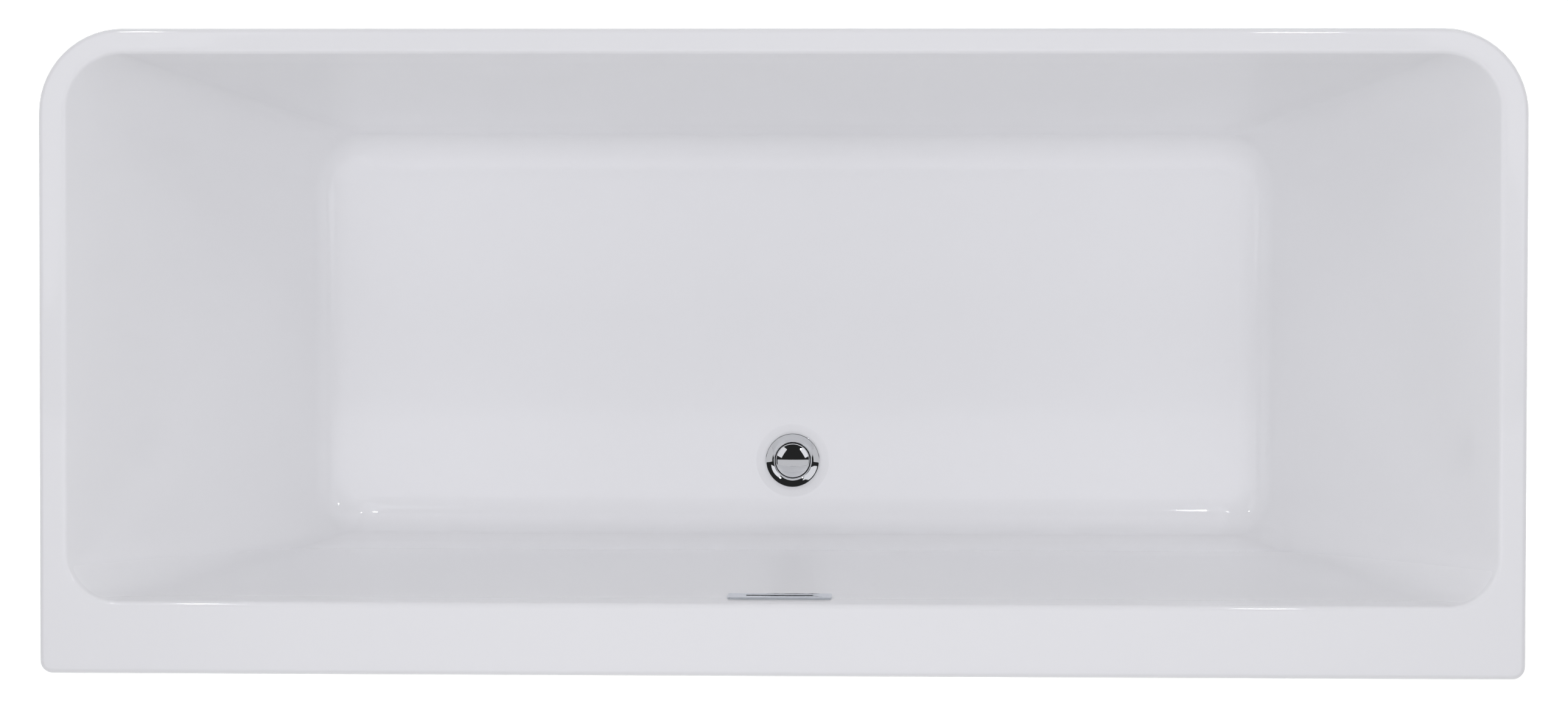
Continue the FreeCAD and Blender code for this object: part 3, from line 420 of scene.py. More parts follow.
def boolean(base, operation, *tools):
    """Applies exact booleans and removes the tools."""
    for tool in tools:
        change = base.modifiers.new("change", "BOOLEAN")
        change.operation = operation
        change.solver = "EXACT"
        change.object = tool
    bpy.context.view_layer.update()
    evaluated = base.evaluated_get(bpy.context.evaluated_depsgraph_get())
    mesh = bpy.data.meshes.new_from_object(evaluated)
    base.modifiers.clear()
    base.data = mesh
    for tool in tools:
        bpy.data.objects.remove(tool)
    return base


def join_meshes(name, items):
    """One object from several, without booleans."""
    work = bmesh.new()
    for item in items:
        work.from_mesh(item.data)
        bpy.data.objects.remove(item)
    mesh = bpy.data.meshes.new(name)
    work.to_mesh(mesh)
    work.free()
    return placed(name, mesh)


def refined(node, width, shortest, segments, angle=50):
    """A copy of a flat-faced CAD node with its long hard edges rounded."""
    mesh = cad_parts[node].data.copy()
    item = placed(f"{node}_fine", mesh)
    work = bmesh.new()
    work.from_mesh(mesh)
    bmesh.ops.remove_doubles(work, verts=work.verts, dist=1e-5)
    bmesh.ops.dissolve_limit(work, angle_limit=radians(0.6), verts=work.verts, edges=work.edges)
    hard = [
        edge for edge in work.edges
        if len(edge.link_faces) == 2 and edge.calc_length() > shortest
        and edge.calc_face_angle(0) > radians(angle)
    ]
    bmesh.ops.bevel(
        work, geom=hard, offset=width, segments=segments, profile=0.5, affect="EDGES", clamp_overlap=True
    )
    work.to_mesh(mesh)
    work.free()
    return item


def corners_of(points):
    """The lowest and the highest corner of the box round some points."""
    return tuple(Vector([pick(p[i] for p in points) for i in range(3)]) for pick in (min, max))


def islands(node):
    """The boxes of a CAD node's separate solids, as (lowest corner, highest corner)."""
    work = bmesh.new()
    work.from_mesh(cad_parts[node].data)
    bmesh.ops.remove_doubles(work, verts=work.verts, dist=1e-5)
    left = set(work.verts)
    boxes = []
    while left:
        stack = [left.pop()]
        found = []
        while stack:
            vertex = stack.pop()
            found.append(vertex.co.copy())
            for edge in vertex.link_edges:
                other = edge.other_vert(vertex)
                if other in left:
                    left.remove(other)
                    stack.append(other)
        boxes.append(corners_of(found))
    work.free()
    return sorted(boxes, key=lambda pair: tuple(round(c, 4) for c in pair[0]))


def middle_of(box):
    return (box[0] + box[1]) / 2


# ---- the bath shell

SHELL_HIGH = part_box("tub_shell")[1]
RIM_TOP = SHELL_HIGH.z
LIP_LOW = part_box("rim_sealant")[0].z - 6 * MM
WASTE = middle_of(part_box("plug_cap"))
FLOOR_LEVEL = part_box("drain_flange")[1].z - 2.2 * MM
HALF_LENGTH, HALF_WIDTH = SHELL_HIGH.x, SHELL_HIGH.y
RIM_END, RIM_FRONT, DECK = 31 * MM, 29 * MM, 83 * MM
RIM_CORNER, DECK_CORNER = 97 * MM, 15 * MM
WELL_CORNERS = 64 * MM, 55 * MM  # at the front, at the deck
FLOOR_SIZES = 611 * MM, 279.5 * MM, 228 * MM  # from the middle to an end, the front, the deck's wall
COVE = 45 * MM
ACRYLIC = 5 * MM
BESIDE = 0.3 * MM  # between the end of a cove and the flat face inside it
WALL_GROWTH = 5.4 * MM

CORNER_STEPS, LONG_STEPS, SHORT_STEPS = 14, 56, 24


def quarter_circle(x, y, radius, start):
    """Points of a quarter circle from an angle in degrees, each with its outward direction."""
    arc = []
    for k in range(CORNER_STEPS + 1):
        angle = radians(start + 90 * k / CORNER_STEPS)
        out = Vector((cos(angle), sin(angle), 0))
        arc.append((Vector((x, y, 0)) + out * radius, out))
    return arc


def plan_ring(half, front, wall, front_corner, wall_corner):
    """Evenly counted points of a rounded rectangle, each with its outward direction."""
    arcs = [
        quarter_circle(half - front_corner, -front + front_corner, front_corner, -90),
        quarter_circle(half - wall_corner, wall - wall_corner, wall_corner, 0),
        quarter_circle(-half + wall_corner, wall - wall_corner, wall_corner, 90),
        quarter_circle(-half + front_corner, -front + front_corner, front_corner, 180),
    ]
    ring = []
    for i, (arc, count) in enumerate(zip(arcs, (SHORT_STEPS, LONG_STEPS, SHORT_STEPS, LONG_STEPS))):
        ring += arc
        (start, out), (end, _) = arc[-1], arcs[(i + 1) % 4][0]
        ring += [(start.lerp(end, k / count), out) for k in range(1, count)]
    return ring


def mouth_ring(growth):
    return plan_ring(
        HALF_LENGTH - RIM_END + growth, HALF_WIDTH - RIM_FRONT + growth, HALF_WIDTH - DECK + growth,
        *(corner + growth for corner in WELL_CORNERS),
    )


def floor_ring(growth):
    return plan_ring(*(size + growth for size in FLOOR_SIZES), *(corner + growth for corner in WELL_CORNERS))


def well_rings(growth, drop, edge, cove, top=None, heights=9):
    """Rings from the mouth of the well down its walls to the edge of its flat floor.

    growth moves the walls outwards, drop lowers the floor, edge and cove round the top and the bottom.
    """
    top = RIM_TOP if top is None else top
    bottom = FLOOR_LEVEL - drop
    depth = RIM_TOP - bottom
    columns = []
    for (mouth, _), (foot, out) in zip(mouth_ring(growth), floor_ring(growth)):
        run = (mouth - foot).dot(out)
        along = mouth - foot - out * run
        lean = atan2(run, depth)
        rest = pi / 2 - lean
        turn = tan(rest / 2)
        high = top - edge * (1 - sin(lean))
        low = bottom + cove * (1 - sin(lean))
        profile = []
        if edge:
            for angle in (rest * k / 6 for k in range(7)):
                profile.append((run + edge * turn - edge * sin(angle), RIM_TOP - edge + edge * cos(angle)))
        for k in range(1 if edge else 0, heights + 1):
            height = high + (low - high) * k / heights
            profile.append((run * (height - bottom) / depth, height))
        for angle in (lean + rest * k / 10 for k in range(1, 11)):
            profile.append((-cove * turn + cove * cos(angle), bottom + cove - cove * sin(angle)))
        columns.append([
            foot + out * across + along * ((height - bottom) / depth) + UP * height for across, height in profile
        ])
    return [list(ring) for ring in zip(*columns)]


def waste_circle(ring, radius, level):
    """A circle about the waste that starts in the direction of a ring's first point."""
    count, start = len(ring), heading(ring[0])
    return [
        Vector((WASTE.x + radius * cos(angle), WASTE.y + radius * sin(angle), level))
        for angle in (start + 2 * pi * k / count for k in range(count))
    ]


def drawn_in(ring, inset):
    return [point - out * inset for point, out in zip(ring, plan_normals(ring))]


def plan_normals(ring):
    """Horizontal outward directions along a ring."""
    count = len(ring)
    result = []
    for k in range(count):
        step = ring[(k + 1) % count] - ring[k - 1]
        result.append(Vector((step.y, -step.x, 0)).normalized())
    return result


def rim_ring(inset, level):
    half, wide = HALF_LENGTH - inset, HALF_WIDTH - inset
    plan = plan_ring(half, wide, wide, RIM_CORNER - inset, max(DECK_CORNER - inset, 1 * MM))
    return [point + UP * level for point, _ in plan]


def quarter_turns(count):
    return [pi / 2 * k / count for k in range(count + 1)]


def build_shell():
    # outside of the lip, upwards, then over the outer edge
    lip_corner, edge = 1.2 * MM, 7 * MM
    start, end = LIP_LOW + lip_corner, RIM_TOP - edge
    stations = [
        (lip_corner * (1 - sin(a)), LIP_LOW + lip_corner * (1 - cos(a))) for a in quarter_turns(3)
    ]
    stations += [(0, start + (end - start) * k / 3) for k in range(1, 4)]
    stations += [(edge * (1 - cos(a)), end + edge * sin(a)) for a in quarter_turns(8)[1:]]
    rings = [rim_ring(*station) for station in stations]
    # the flat of the rim
    well = well_rings(0, 0, 6 * MM, COVE)
    outer = rings[-1]
    rings += [[a.lerp(b, k / 8) for a, b in zip(outer, well[0])] for k in range(1, 8)]
    rings += well
    # the floor, the recess and the waste hole
    edge_ring = well[-1]
    rings.append(drawn_in(edge_ring, BESIDE))
    plates = [len(rings) - 1]
    recess, hole = FLOOR_LEVEL - 2.5 * MM, FLOOR_LEVEL - 8 * MM
    for radius, level in (
        (48.3, 0), (47.9, 0), (47.3, -0.12), (46.3, -0.45), (43.5, -1.25), (40.5, -2.05), (39.2, -2.35),
        (38.0, -2.5),
    ):
        rings.append(waste_circle(edge_ring, radius * MM, FLOOR_LEVEL + level * MM))
    for radius, level in ((34, recess), (27, recess), (26, recess - 1 * MM), (26, hole)):
        rings.append(waste_circle(edge_ring, radius * MM, level))
    outside = well_rings(WALL_GROWTH, ACRYLIC, 0, COVE + ACRYLIC, top=RIM_TOP - ACRYLIC)
    back = outside[-1]
    for radius, level in ((49.4, hole), (50, hole + 0.5 * MM), (50, FLOOR_LEVEL - ACRYLIC)):
        rings.append(waste_circle(back, radius * MM, level))
    plates.append(len(rings) - 1)
    rings.append(drawn_in(back, BESIDE))
    rings += outside[::-1]
    # underside of the rim and inside of the lip
    under, sink = RIM_TOP - ACRYLIC, 2 * MM
    inner_lip = rim_ring(ACRYLIC, under)
    rings += [[a.lerp(b, k / 4) for a, b in zip(outside[0], inner_lip)] for k in range(1, 4)]
    stations = [(ACRYLIC + sink * (1 - sin(a)), under - sink * (1 - cos(a))) for a in quarter_turns(3)]
    stations += [(ACRYLIC, under - (under - LIP_LOW) * k / 3) for k in (1, 2)]
    stations += [(ACRYLIC, LIP_LOW + 0.6 * MM), (ACRYLIC - 0.6 * MM, LIP_LOW)]
    rings += [rim_ring(*station) for station in stations]
    shell = lofted("bath_shell", rings, looped=True, plates=plates)
    boolean(shell, "DIFFERENCE", overflow_cutter(ACRYLIC * 3))
    return dress(shell, "tub_shell", "acrylic")


# ---- the overflow's own frame

def overflow_axes():
    """Where the overflow plate's face is and how it leans: X along it, Y into the wall, Z up the wall."""
    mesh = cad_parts["overflow_plate"].data
    facing = Vector()
    for face in mesh.polygons:
        if face.normal.y < -0.7:
            facing += face.normal * face.area
    into = -facing.normalized()
    up = Vector((1, 0, 0)).cross(into)
    turn = Matrix((Vector((1, 0, 0)), into, up)).transposed()
    local = [turn.transposed() @ v.co for v in mesh.vertices]
    low, high = corners_of(local)
    origin = turn @ Vector(((low.x + high.x) / 2, high.y, (low.z + high.z) / 2))
    return Matrix.Translation(origin) @ turn.to_4x4()


OVERFLOW = overflow_axes()


def block_outline(width, height, rounding, steps=3):
    half, tall = width / 2, height / 2
    return soften([(-half, -tall), (half, -tall), (half, tall), (-half, tall)], rounding, steps)


def overflow_cutter(reach):
    """The slot through the wall behind the overflow plate, from half a reach in front of it."""
    outline = block_outline(96 * MM, 16 * MM, 3 * MM, 4)
    rings = [[OVERFLOW @ Vector((p.x, start * reach, p.y)) for p in outline] for start in (-0.5, 1.5)]
    return lofted("cutter", rings)


# ---- backing, board, skirt, bead, battens

def build_backing():
    growth = WALL_GROWTH + 3.2 * MM
    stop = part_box("glass_fibre_backing")[1].z
    outside = well_rings(growth, 8 * MM, 0, 53 * MM, top=stop, heights=46)
    inside = well_rings(WALL_GROWTH + 0.25 * MM, ACRYLIC + 0.25 * MM, 0, 50 * MM, top=stop, heights=8)
    rough = []
    for i, ring in enumerate(outside):
        fade = min(1.0, (len(outside) - 1 - i) / 4)
        moved = []
        for point, inner in zip(ring, plan_normals(ring)):
            depth = noise.fractal(point * 38, 0.9, 2.2, 5) * 0.8 * MM + noise.noise(point * 150) * 0.3 * MM
            moved.append(point - inner * (0.9 * MM - depth) * fade)
        rough.append(moved)
    ragged = [
        point - UP * (1.5 * MM + 2.5 * MM * (noise.noise(point * 22) + 1))
        for point in rough[0]
    ]
    rough[0] = ragged
    level_out, level_in = outside[-1][0].z, inside[-1][0].z
    rings = rough + [drawn_in(outside[-1], BESIDE)]
    plates = [len(rings) - 1]
    rings += [waste_circle(outside[-1], 50.4 * MM, level_out), waste_circle(inside[-1], 50.4 * MM, level_in)]
    plates.append(len(rings) - 1)
    rings.append(drawn_in(inside[-1], BESIDE))
    rings += list(reversed([[Vector((p.x, p.y, min(p.z, r.z + 1.2 * MM))) for p, r in zip(ring, ragged)]
                            for ring in inside]))
    backing = lofted("glass_fibre_mat", rings, looped=True, plates=plates)
    boolean(backing, "DIFFERENCE", overflow_cutter(ACRYLIC * 4))
    return dress(backing, "glass_fibre_backing", "glass_fibre", sharp=radians(60))


SKIRT_LEAN_END, SKIRT_LEAN_FRONT = 38 * MM, 24 * MM


def skirt_path(drop):
    """The skirt's outline at a share of its drop, open at the wall side, with its outward directions."""
    low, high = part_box("outer_skirt")
    half, front = high.x - drop * SKIRT_LEAN_END, -low.y - drop * SKIRT_LEAN_FRONT
    corner, turn_x, turn_y = 90 * MM, half - 90 * MM, 90 * MM - front
    side_steps, front_steps = 18, 54

    def line(start, end, out, count, steps):
        start, end, out = (Vector((*point, 0)) for point in (start, end, out))
        return [(start.lerp(end, k / count), out) for k in steps]

    path = line((-half, high.y), (-half, turn_y), (-1, 0), side_steps, range(side_steps))
    path += quarter_circle(-turn_x, turn_y, corner, 180)
    path += line((-turn_x, -front), (turn_x, -front), (0, -1), front_steps, range(1, front_steps))
    path += quarter_circle(turn_x, turn_y, corner, 270)
    return path + line((half, turn_y), (half, high.y), (1, 0), side_steps, range(1, side_steps + 1))


def build_skirt():
    """A vacuum-formed panel: flat sides, soft corners and a rounded bottom edge."""
    low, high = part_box("outer_skirt")
    bottom, top = low.z, high.z
    thick = 4 * MM
    levels = [(bottom + r * MM, inset * MM) for r, inset in ((0, 1.5), (0.3, 0.7), (0.8, 0.2), (1.6, 0))]
    levels += [(bottom + (top - bottom) * k / 12, 0) for k in range(1, 12)]
    levels += [(top - 0.8 * MM, 0), (top, 0.6 * MM)]
    rings = []
    for level, inset in levels:
        path = skirt_path((top - level) / (top - bottom))
        outer = [p - n * inset + UP * level for p, n in path]
        inner = [p - n * (thick - inset * 0.5) + UP * level for p, n in reversed(path)]
        rings.append(outer + inner)
    return dress(lofted("skirt_panel", rings), "outer_skirt", "skirt_acrylic")


def build_flat_pieces():
    """Pieces whose CAD shape is right and only want rounded edges."""
    small = ("overflow_gasket", "overflow_plate")
    for nodes, width, slot, segments in (
        ("base_board", 1.2, "board", 3),
        ("deck_battens", 2.0, "timber", 3),
        ("frame_rail_front frame_rail_back bearer_left bearer_middle bearer_right", 1.9, "frame_steel", 4),
        ("end_brackets front_brackets", 0.7, "frame_steel", 3),
        ("rim_sealant", 0.6, "sealant", 3),
        ("overflow_insert", 0.4, "waste_plastic", 2),
        ("overflow_housing", 1.2, "waste_plastic", 3),
        ("overflow_gasket", 0.3, "rubber", 2),
        ("overflow_plate", 0.35, "chrome", 3),
    ):
        for node in nodes.split():
            item = refined(node, width * MM, shortest=(1.5 if node in small else 9) * MM, segments=segments)
            # painted shade: the overflow plate gets the darker, bluer copy of the chrome instead of the plain
            # chrome
            dress(item, node, slot, merge=1e-7, finish="chrome_painted_shade" if node == "overflow_plate" else None)


# ---- screws, nuts and feet

def hex_radius(angle, flat):
    """Distance to a hexagon's side in a direction, for a given distance across to a flat."""
    turn = (angle + pi / 6) % (pi / 3) - pi / 6
    return flat / cos(turn)


def hex_nut(name, box, bore):
    """A hexagon nut with chamfered corners and a countersunk bore."""
    low, high = box
    centre = middle_of(box)
    flat, corner = (high.y - low.y) / 2, (high.x - low.x) / 2
    across = min(flat, corner)
    bevel, face = 0.5 * MM, across * 0.97
    # a negative radius marks the points that follow the hexagon
    outline = [
        (bore, low.z + bevel), (bore + bevel, low.z), (face, low.z), (-1, low.z), (-1, high.z),
        (face, high.z), (bore + bevel, high.z), (bore, high.z - bevel),
    ]
    start = pi / 6 if flat < corner else 0.0

    def shape(angle, radius, height):
        if radius > 0:
            return radius, height
        side = hex_radius(angle + start, across)
        fall = max(0.0, side - face) * 0.55
        return side, height + (fall if height < centre.z else -fall)

    return lathe(name, outline, 72, shape, over(centre))


def screw(name, box, points_up, head_radius, shank, socket):
    """A pan head screw with a hexagon socket, a flange under its head and turned thread crests."""
    low, high = box
    centre = middle_of(box)
    length = high.z - low.z
    head = 2.5 * MM if head_radius < 5 * MM else 3.5 * MM
    # a negative radius marks the points that follow the socket
    outline = [
        (0.0, -head * 0.35), (socket * 0.5, -head * 0.35), (-1.0, -head * 0.35), (-1.0, -head * 0.92),
        (socket * 1.25, -head), (head_radius * 0.5, -head), (head_radius * 0.82, -head * 0.86),
        (head_radius * 0.97, -head * 0.45), (head_radius, -head * 0.18), (head_radius, 0.0), (shank, 0.0),
    ]
    pitch = 1.5 * MM
    reach = length - head
    count = int((reach - 3 * MM) / pitch)
    for k in range(count):
        level = 1.5 * MM + k * pitch
        outline += [(shank, level), (shank * 0.84, level + pitch * 0.5)]
    outline += [(shank, reach - 1.5 * MM), (shank * 0.55, reach), (0.0, reach)]

    def shape(angle, radius, height):
        return (hex_radius(angle, socket), height) if radius < 0 else (radius, height)

    at = over(centre) @ Matrix.Translation(UP * (low.z + head if points_up else high.z - head))
    if not points_up:
        at = at @ Matrix.Rotation(pi, 4, "X")
    return lathe(name, outline, 36, shape, at)


def build_screws():
    for node, up, head, shank, socket in (
        ("board_screws", True, 4.5 * MM, 2.0 * MM, 1.4 * MM),
        ("bearer_screws", True, 5.5 * MM, 2.5 * MM, 1.9 * MM),
        ("bracket_screws", False, 4.0 * MM, 2.0 * MM, 1.3 * MM),
    ):
        items = [screw("screw", box, up, head, shank, socket) for box in islands(node)]
        dress(join_meshes(node[:-1] + "_set", items), node, "zinc_steel", radians(50))
    for node, slot in (("foot_nuts", "frame_steel"), ("lock_nuts", "zinc_steel")):
        items = [hex_nut("nut", box, 6.3 * MM) for box in islands(node)]
        dress(join_meshes(node[:-1] + "_set", items), node, slot)


def build_feet():
    radius, pitch, bevel = 6 * MM, 1.75 * MM, 1 * MM
    for number in range(1, 6):
        stud, pad = f"foot_{number}_stud", f"foot_{number}_pad"
        low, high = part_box(stud)
        centre = middle_of((low, high))
        at = over(centre)
        flats_low, flats_high = low.z + 15.5 * MM, low.z + 23.5 * MM
        levels = [low.z, low.z + bevel]
        level = low.z + bevel + pitch / 6
        while level < high.z - bevel:
            levels.append(level)
            level += pitch / 6
        levels.append(high.z)
        outline = [(0.0, low.z)]
        for level in levels:
            end = min(level - low.z, high.z - level)
            outline.append((radius - max(0.0, bevel - end), level))
        outline.append((0.0, high.z))

        def threaded(angle, reach, height):
            if reach < radius or flats_low - 1 * MM < height < flats_high + 1 * MM:
                return reach, height
            phase = (height / pitch - angle / (2 * pi)) % 1.0
            return reach - 0.95 * MM * abs(2 * phase - 1) ** 1.1, height

        rod = lathe("rod", outline, 36, threaded, at)
        flats_box = [
            Vector((centre.x + side * 8.5 * MM, centre.y + side * 7.36 * MM, level))
            for side, level in ((-1, flats_low), (1, flats_high))
        ]
        collar = hex_nut("flats", flats_box, 5.9 * MM)
        dress(join_meshes(f"foot_{number}_screw", [rod, collar]), stud, "zinc_steel", radians(30), stud)
        build_pad(f"foot_{number}_glide", pad, at)


def build_pad(name, pad, at):
    """A foot's round pad: a thin edge, a ribbed slope and a collar for the stud."""
    low, high, wide = upright(pad)
    points = raised(
        low, (0, 0.6), (wide * 0.3, 0.6), (wide * 0.36, 0), (wide, 0), (wide, 3.2), (wide - 1.2, 3.6),
        (wide - 0.4, 4.0), (wide - 1.0, 6.4), (wide - 5, 8), (13, 8), (11, 10),
    ) + raised(high, (10.4, 0), (7, 0), (6.3, -1)) + raised(low, (6.3, 6.2), (0, 6.2))
    low, wide = low * MM, wide * MM
    outline = [tuple(point) for point in soften([(r * MM, z * MM) for r, z in points], 0.5 * MM)]
    outline = [(0.0, outline[0][1]), *outline[1:-1], (0.0, outline[-1][1])]
    ribs, slope_start, slope_end = 8, 11.5 * MM, wide - 3 * MM

    def ribbed(angle, reach, height):
        if slope_start < reach < slope_end and height > low + 7 * MM:
            crest = max(0.0, cos(angle * ribs)) ** 3
            return reach, height + 1.3 * MM * crest * (1 - (reach - slope_start) / (wide - 14.5 * MM))
        return reach, height

    dress(lathe(name, outline, 96, ribbed, at), pad, "foot_plastic", body=pad)


# ---- waste, plug and plumbing, in millimetres

PLAN_Y = WASTE.y / MM


def upright(node):
    """The lowest and highest level and the outer radius of a turned CAD node, in millimetres."""
    low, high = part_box(node)
    return low.z / MM, high.z / MM, (high.x - low.x) / 2 / MM


def raised(base, *points):
    """Outline points (radius, height, own rounding) whose heights count from a base."""
    return [(point[0], base + point[1], *point[2:]) for point in points]


def turned(name, outline, steps=96, shape=None, rounding=0.3 * MM, at=None, arc=3):
    """A turned mesh from an outline in millimetres."""
    points = [tuple(c * MM for c in point) for point in outline]
    points = [(*point[:2], 0.0) if point[0] == 0 else point for point in points]
    smooth = [tuple(point) for point in soften(points, rounding, arc)]
    return lathe(name, smooth, steps, shape, at or over(WASTE))


def turned_piece(node, slot, outline, *how, body="bath", **ways):
    dress(turned(f"{node}_turned", outline, *how, **ways), node, slot, body=body)


def dome_points(radius, rise, base, count=20):
    """Half a dome's outline, from its rim to its crown, in millimetres."""
    ball = (radius ** 2 + rise ** 2) / (2 * rise)
    reach = asin(radius / ball)
    angles = [reach * (1 - k / count) for k in range(count + 1)]
    return [(ball * sin(a), base + rise - ball + ball * cos(a), 0.0) for a in angles]


def build_waste():
    low, top, _ = upright("drain_flange")
    base = top - 3.2
    outline = [(35.3, base, 0.2), (35.6, base + 0.5, 0.3)]
    outline += raised(top, (35.6, -0.75, 0.6), (35.1, -0.08, 0.4), (34.5, 0, 0.2))
    # the dish: a shallow hollow that steepens inwards
    outline += raised(
        top, (34.0, -0.12, 0), (33.0, -0.42, 0), (31.5, -0.88, 0), (30.0, -1.34, 0), (28.6, -1.78, 0),
        (27.4, -2.22, 0), (26.3, -2.72, 0), (25.2, -3.3, 0), (24.2, -3.95, 0), (23.4, -4.6, 0), (22.9, -5.3, 0),
        (22.6, -6.2, 0.3), (21.5, -7.0, 0.4),
    )
    outline += [(21.5, low, 0.3), (23.0, low, 0.4)]
    thread = low + 1.2
    while thread < base - 8:
        outline += [(23.9, thread, 0.0), (23.2, thread + 0.75, 0.0)]
        thread += 1.5
    outline += raised(base, (23.9, -7, 0.3), (25.6, -6, 0.4), (25.6, 0, 0.2))
    ring = turned("ring", outline, 128)
    web = [
        local_bar(Vector((WASTE.x, WASTE.y, (low + 4) * MM)), (43.4 * MM, 4 * MM, 4 * MM), turn) for turn in (0, 90)
    ]
    hub = turned("hub", raised(low, (3.6, 2.2), (7, 2.2), (7, 8), (3.6, 8)), 48)
    dress(join_meshes("waste_flange", [ring, *web, hub]), "drain_flange", "chrome", radians(30))

    low, high, radius = upright("plug_cap")
    rise = 4.7
    outline = raised(
        low, (0, 0), (13.6, 0), (13.8, 0.3), (13.8, 2.2), (radius - 0.7, 2.2, 0.3), (radius, 2.9, 0.5),
    )
    outline += [(radius, high - rise - 0.45, 0.4), *dome_points(radius - 0.25, rise, high - rise)]
    turned_piece("plug_cap", "chrome", outline, 128, body="plug")

    low, high, radius = upright("plug_seal")
    turned_piece("plug_seal", "rubber", [
        (13.8, low), (radius - 0.8, low), (radius, low + 0.5), (radius - 0.5, low + 1.0), (radius, low + 1.6),
        (radius - 0.8, high), (13.8, high),
    ], rounding=0.25 * MM, body="plug")
    low, high, _ = upright("plug_stem")
    turned_piece("plug_stem", "brass", raised(
        low, (0, 0), (3.2, 0), (4, 0.8), (4, 7), (6.1, 7), (6.1, 9), (4, 9), (4, 13), (3.6, 13.4), (3.6, 14.2),
        (4, 14.6),
    ) + [(4, high), (0, high)], 48, rounding=0.2 * MM, body="plug")
    low, high, _ = upright("click_cartridge")
    turned_piece("click_cartridge", "brass", raised(
        low, (0, 0), (3.2, 0), (3.5, 0.4), (3.5, 10), (8.6, 10), (9, 10.6),
    ) + raised(high, (9, -3), (8.2, 0), (4.6, 0), (4.4, -3), (6.5, -3.2)) + raised(low, (6.5, 13), (0, 13)),
        48, rounding=0.2 * MM)
    build_spring()
    for node, inner in (("flange_seal", 26.2), ("waste_gasket", 26.5)):
        low, high, radius = upright(node)
        middle = (low + high) / 2
        turned_piece(node, "rubber", [
            (inner, low), (radius, low), (radius, middle - 0.1), (radius - 0.25, middle), (radius, middle + 0.1),
            (radius, high), (inner, high),
        ], rounding=0.2 * MM)


def local_bar(centre, size, turn):
    """A small bar with rounded edges, turned about the vertical."""
    length, width, height = size
    outline = block_outline(width, height, 0.6 * MM)
    at = Matrix.Translation(centre) @ Matrix.Rotation(radians(turn), 4, "Z")
    return lofted("bar", [[at @ Vector((side * length / 2, p.x, p.y)) for p in outline] for side in (-1, 1)])


def tube_along(name, points, radii, sides):
    """A tube along a path with a radius at each point."""
    rings = []
    across = (points[1] - points[0]).normalized().orthogonal().normalized()
    for i, point in enumerate(points):
        tangent = (points[min(i + 1, len(points) - 1)] - points[max(i - 1, 0)]).normalized()
        across = (across - tangent * across.dot(tangent)).normalized()
        side = tangent.cross(across)
        rings.append([
            point + (across * cos(a) + side * sin(a)) * radii[i]
            for a in (2 * pi * k / sides for k in range(sides))
        ])
    return lofted(name, rings)


def build_spring():
    low, high, radius = (value * MM for value in upright("cartridge_spring"))
    wire, coils, steps = 0.7 * MM, 5, 28
    points = []
    for k in range(coils * steps + 1):
        angle = 2 * pi * k / steps
        height = low + wire + (high - low - 2 * wire) * k / (coils * steps)
        points.append(over(WASTE) @ Vector((
            (radius - wire) * cos(angle), (radius - wire) * sin(angle), height,
        )))
    item = tube_along("latch_spring", points, [wire] * len(points), 10)
    dress(item, "cartridge_spring", "spring_steel")


def grip(count, depth, reach):
    """A shape rule that cuts finger grips into everything beyond a radius."""
    def shape(angle, radius, height):
        if radius > reach:
            wave = 0.5 - 0.5 * cos(angle * count)
            return radius - depth * wave ** 3, height
        return radius, height
    return shape


def build_waste_body():
    low, high, radius = upright("waste_body")
    thread = [(23.9 - 0.7 * (k % 2), 0.8 * (k + 1)) for k in range(9)]
    body = turned("cup", raised(
        low, (0, 0), (22.8, 0), *thread, (23.9, 17), (25.5, 18), (31, 21),
    ) + raised(high, (31, -3), (radius, -3), (radius, 0), (0, 0)), rounding=0.5 * MM)
    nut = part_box("hose_nut_bottom")
    nut_end = nut[0].y / MM
    at = frame_on(Vector((WASTE.x, 0, middle_of(nut).z)), TO_WALL)
    boss = turned("boss", [
        (0, PLAN_Y + 26), (17, PLAN_Y + 26), (17, nut_end - 0.4), (12.2, nut_end - 0.4), (12, nut_end + 1),
        (12, PLAN_Y + 56), (0, PLAN_Y + 56),
    ], rounding=0.6 * MM, at=at)
    ribs = []
    for turn in range(0, 360, 45):
        if turn != 90:
            rib = local_bar(Vector((29.5 * MM, 0, (low + 46) * MM)), (9 * MM, 2 * MM, 25 * MM), 0)
            rib.data.transform(over(WASTE) @ Matrix.Rotation(radians(turn), 4, "Z"))
            ribs.append(rib)
    bore = turned("bore", raised(low, (0, -1), (19, -1), (19, 22), (27.5, 31)) + raised(high, (27.5, 1), (0, 1)),
                  rounding=0)
    side = turned("side", raised(PLAN_Y, (0, 20), (9.5, 20), (9.5, 60), (0, 60)), rounding=0, at=at)
    boolean(body, "UNION", boss, *ribs)
    boolean(body, "DIFFERENCE", bore, side)
    dress(body, "waste_body", "waste_plastic", radians(32))


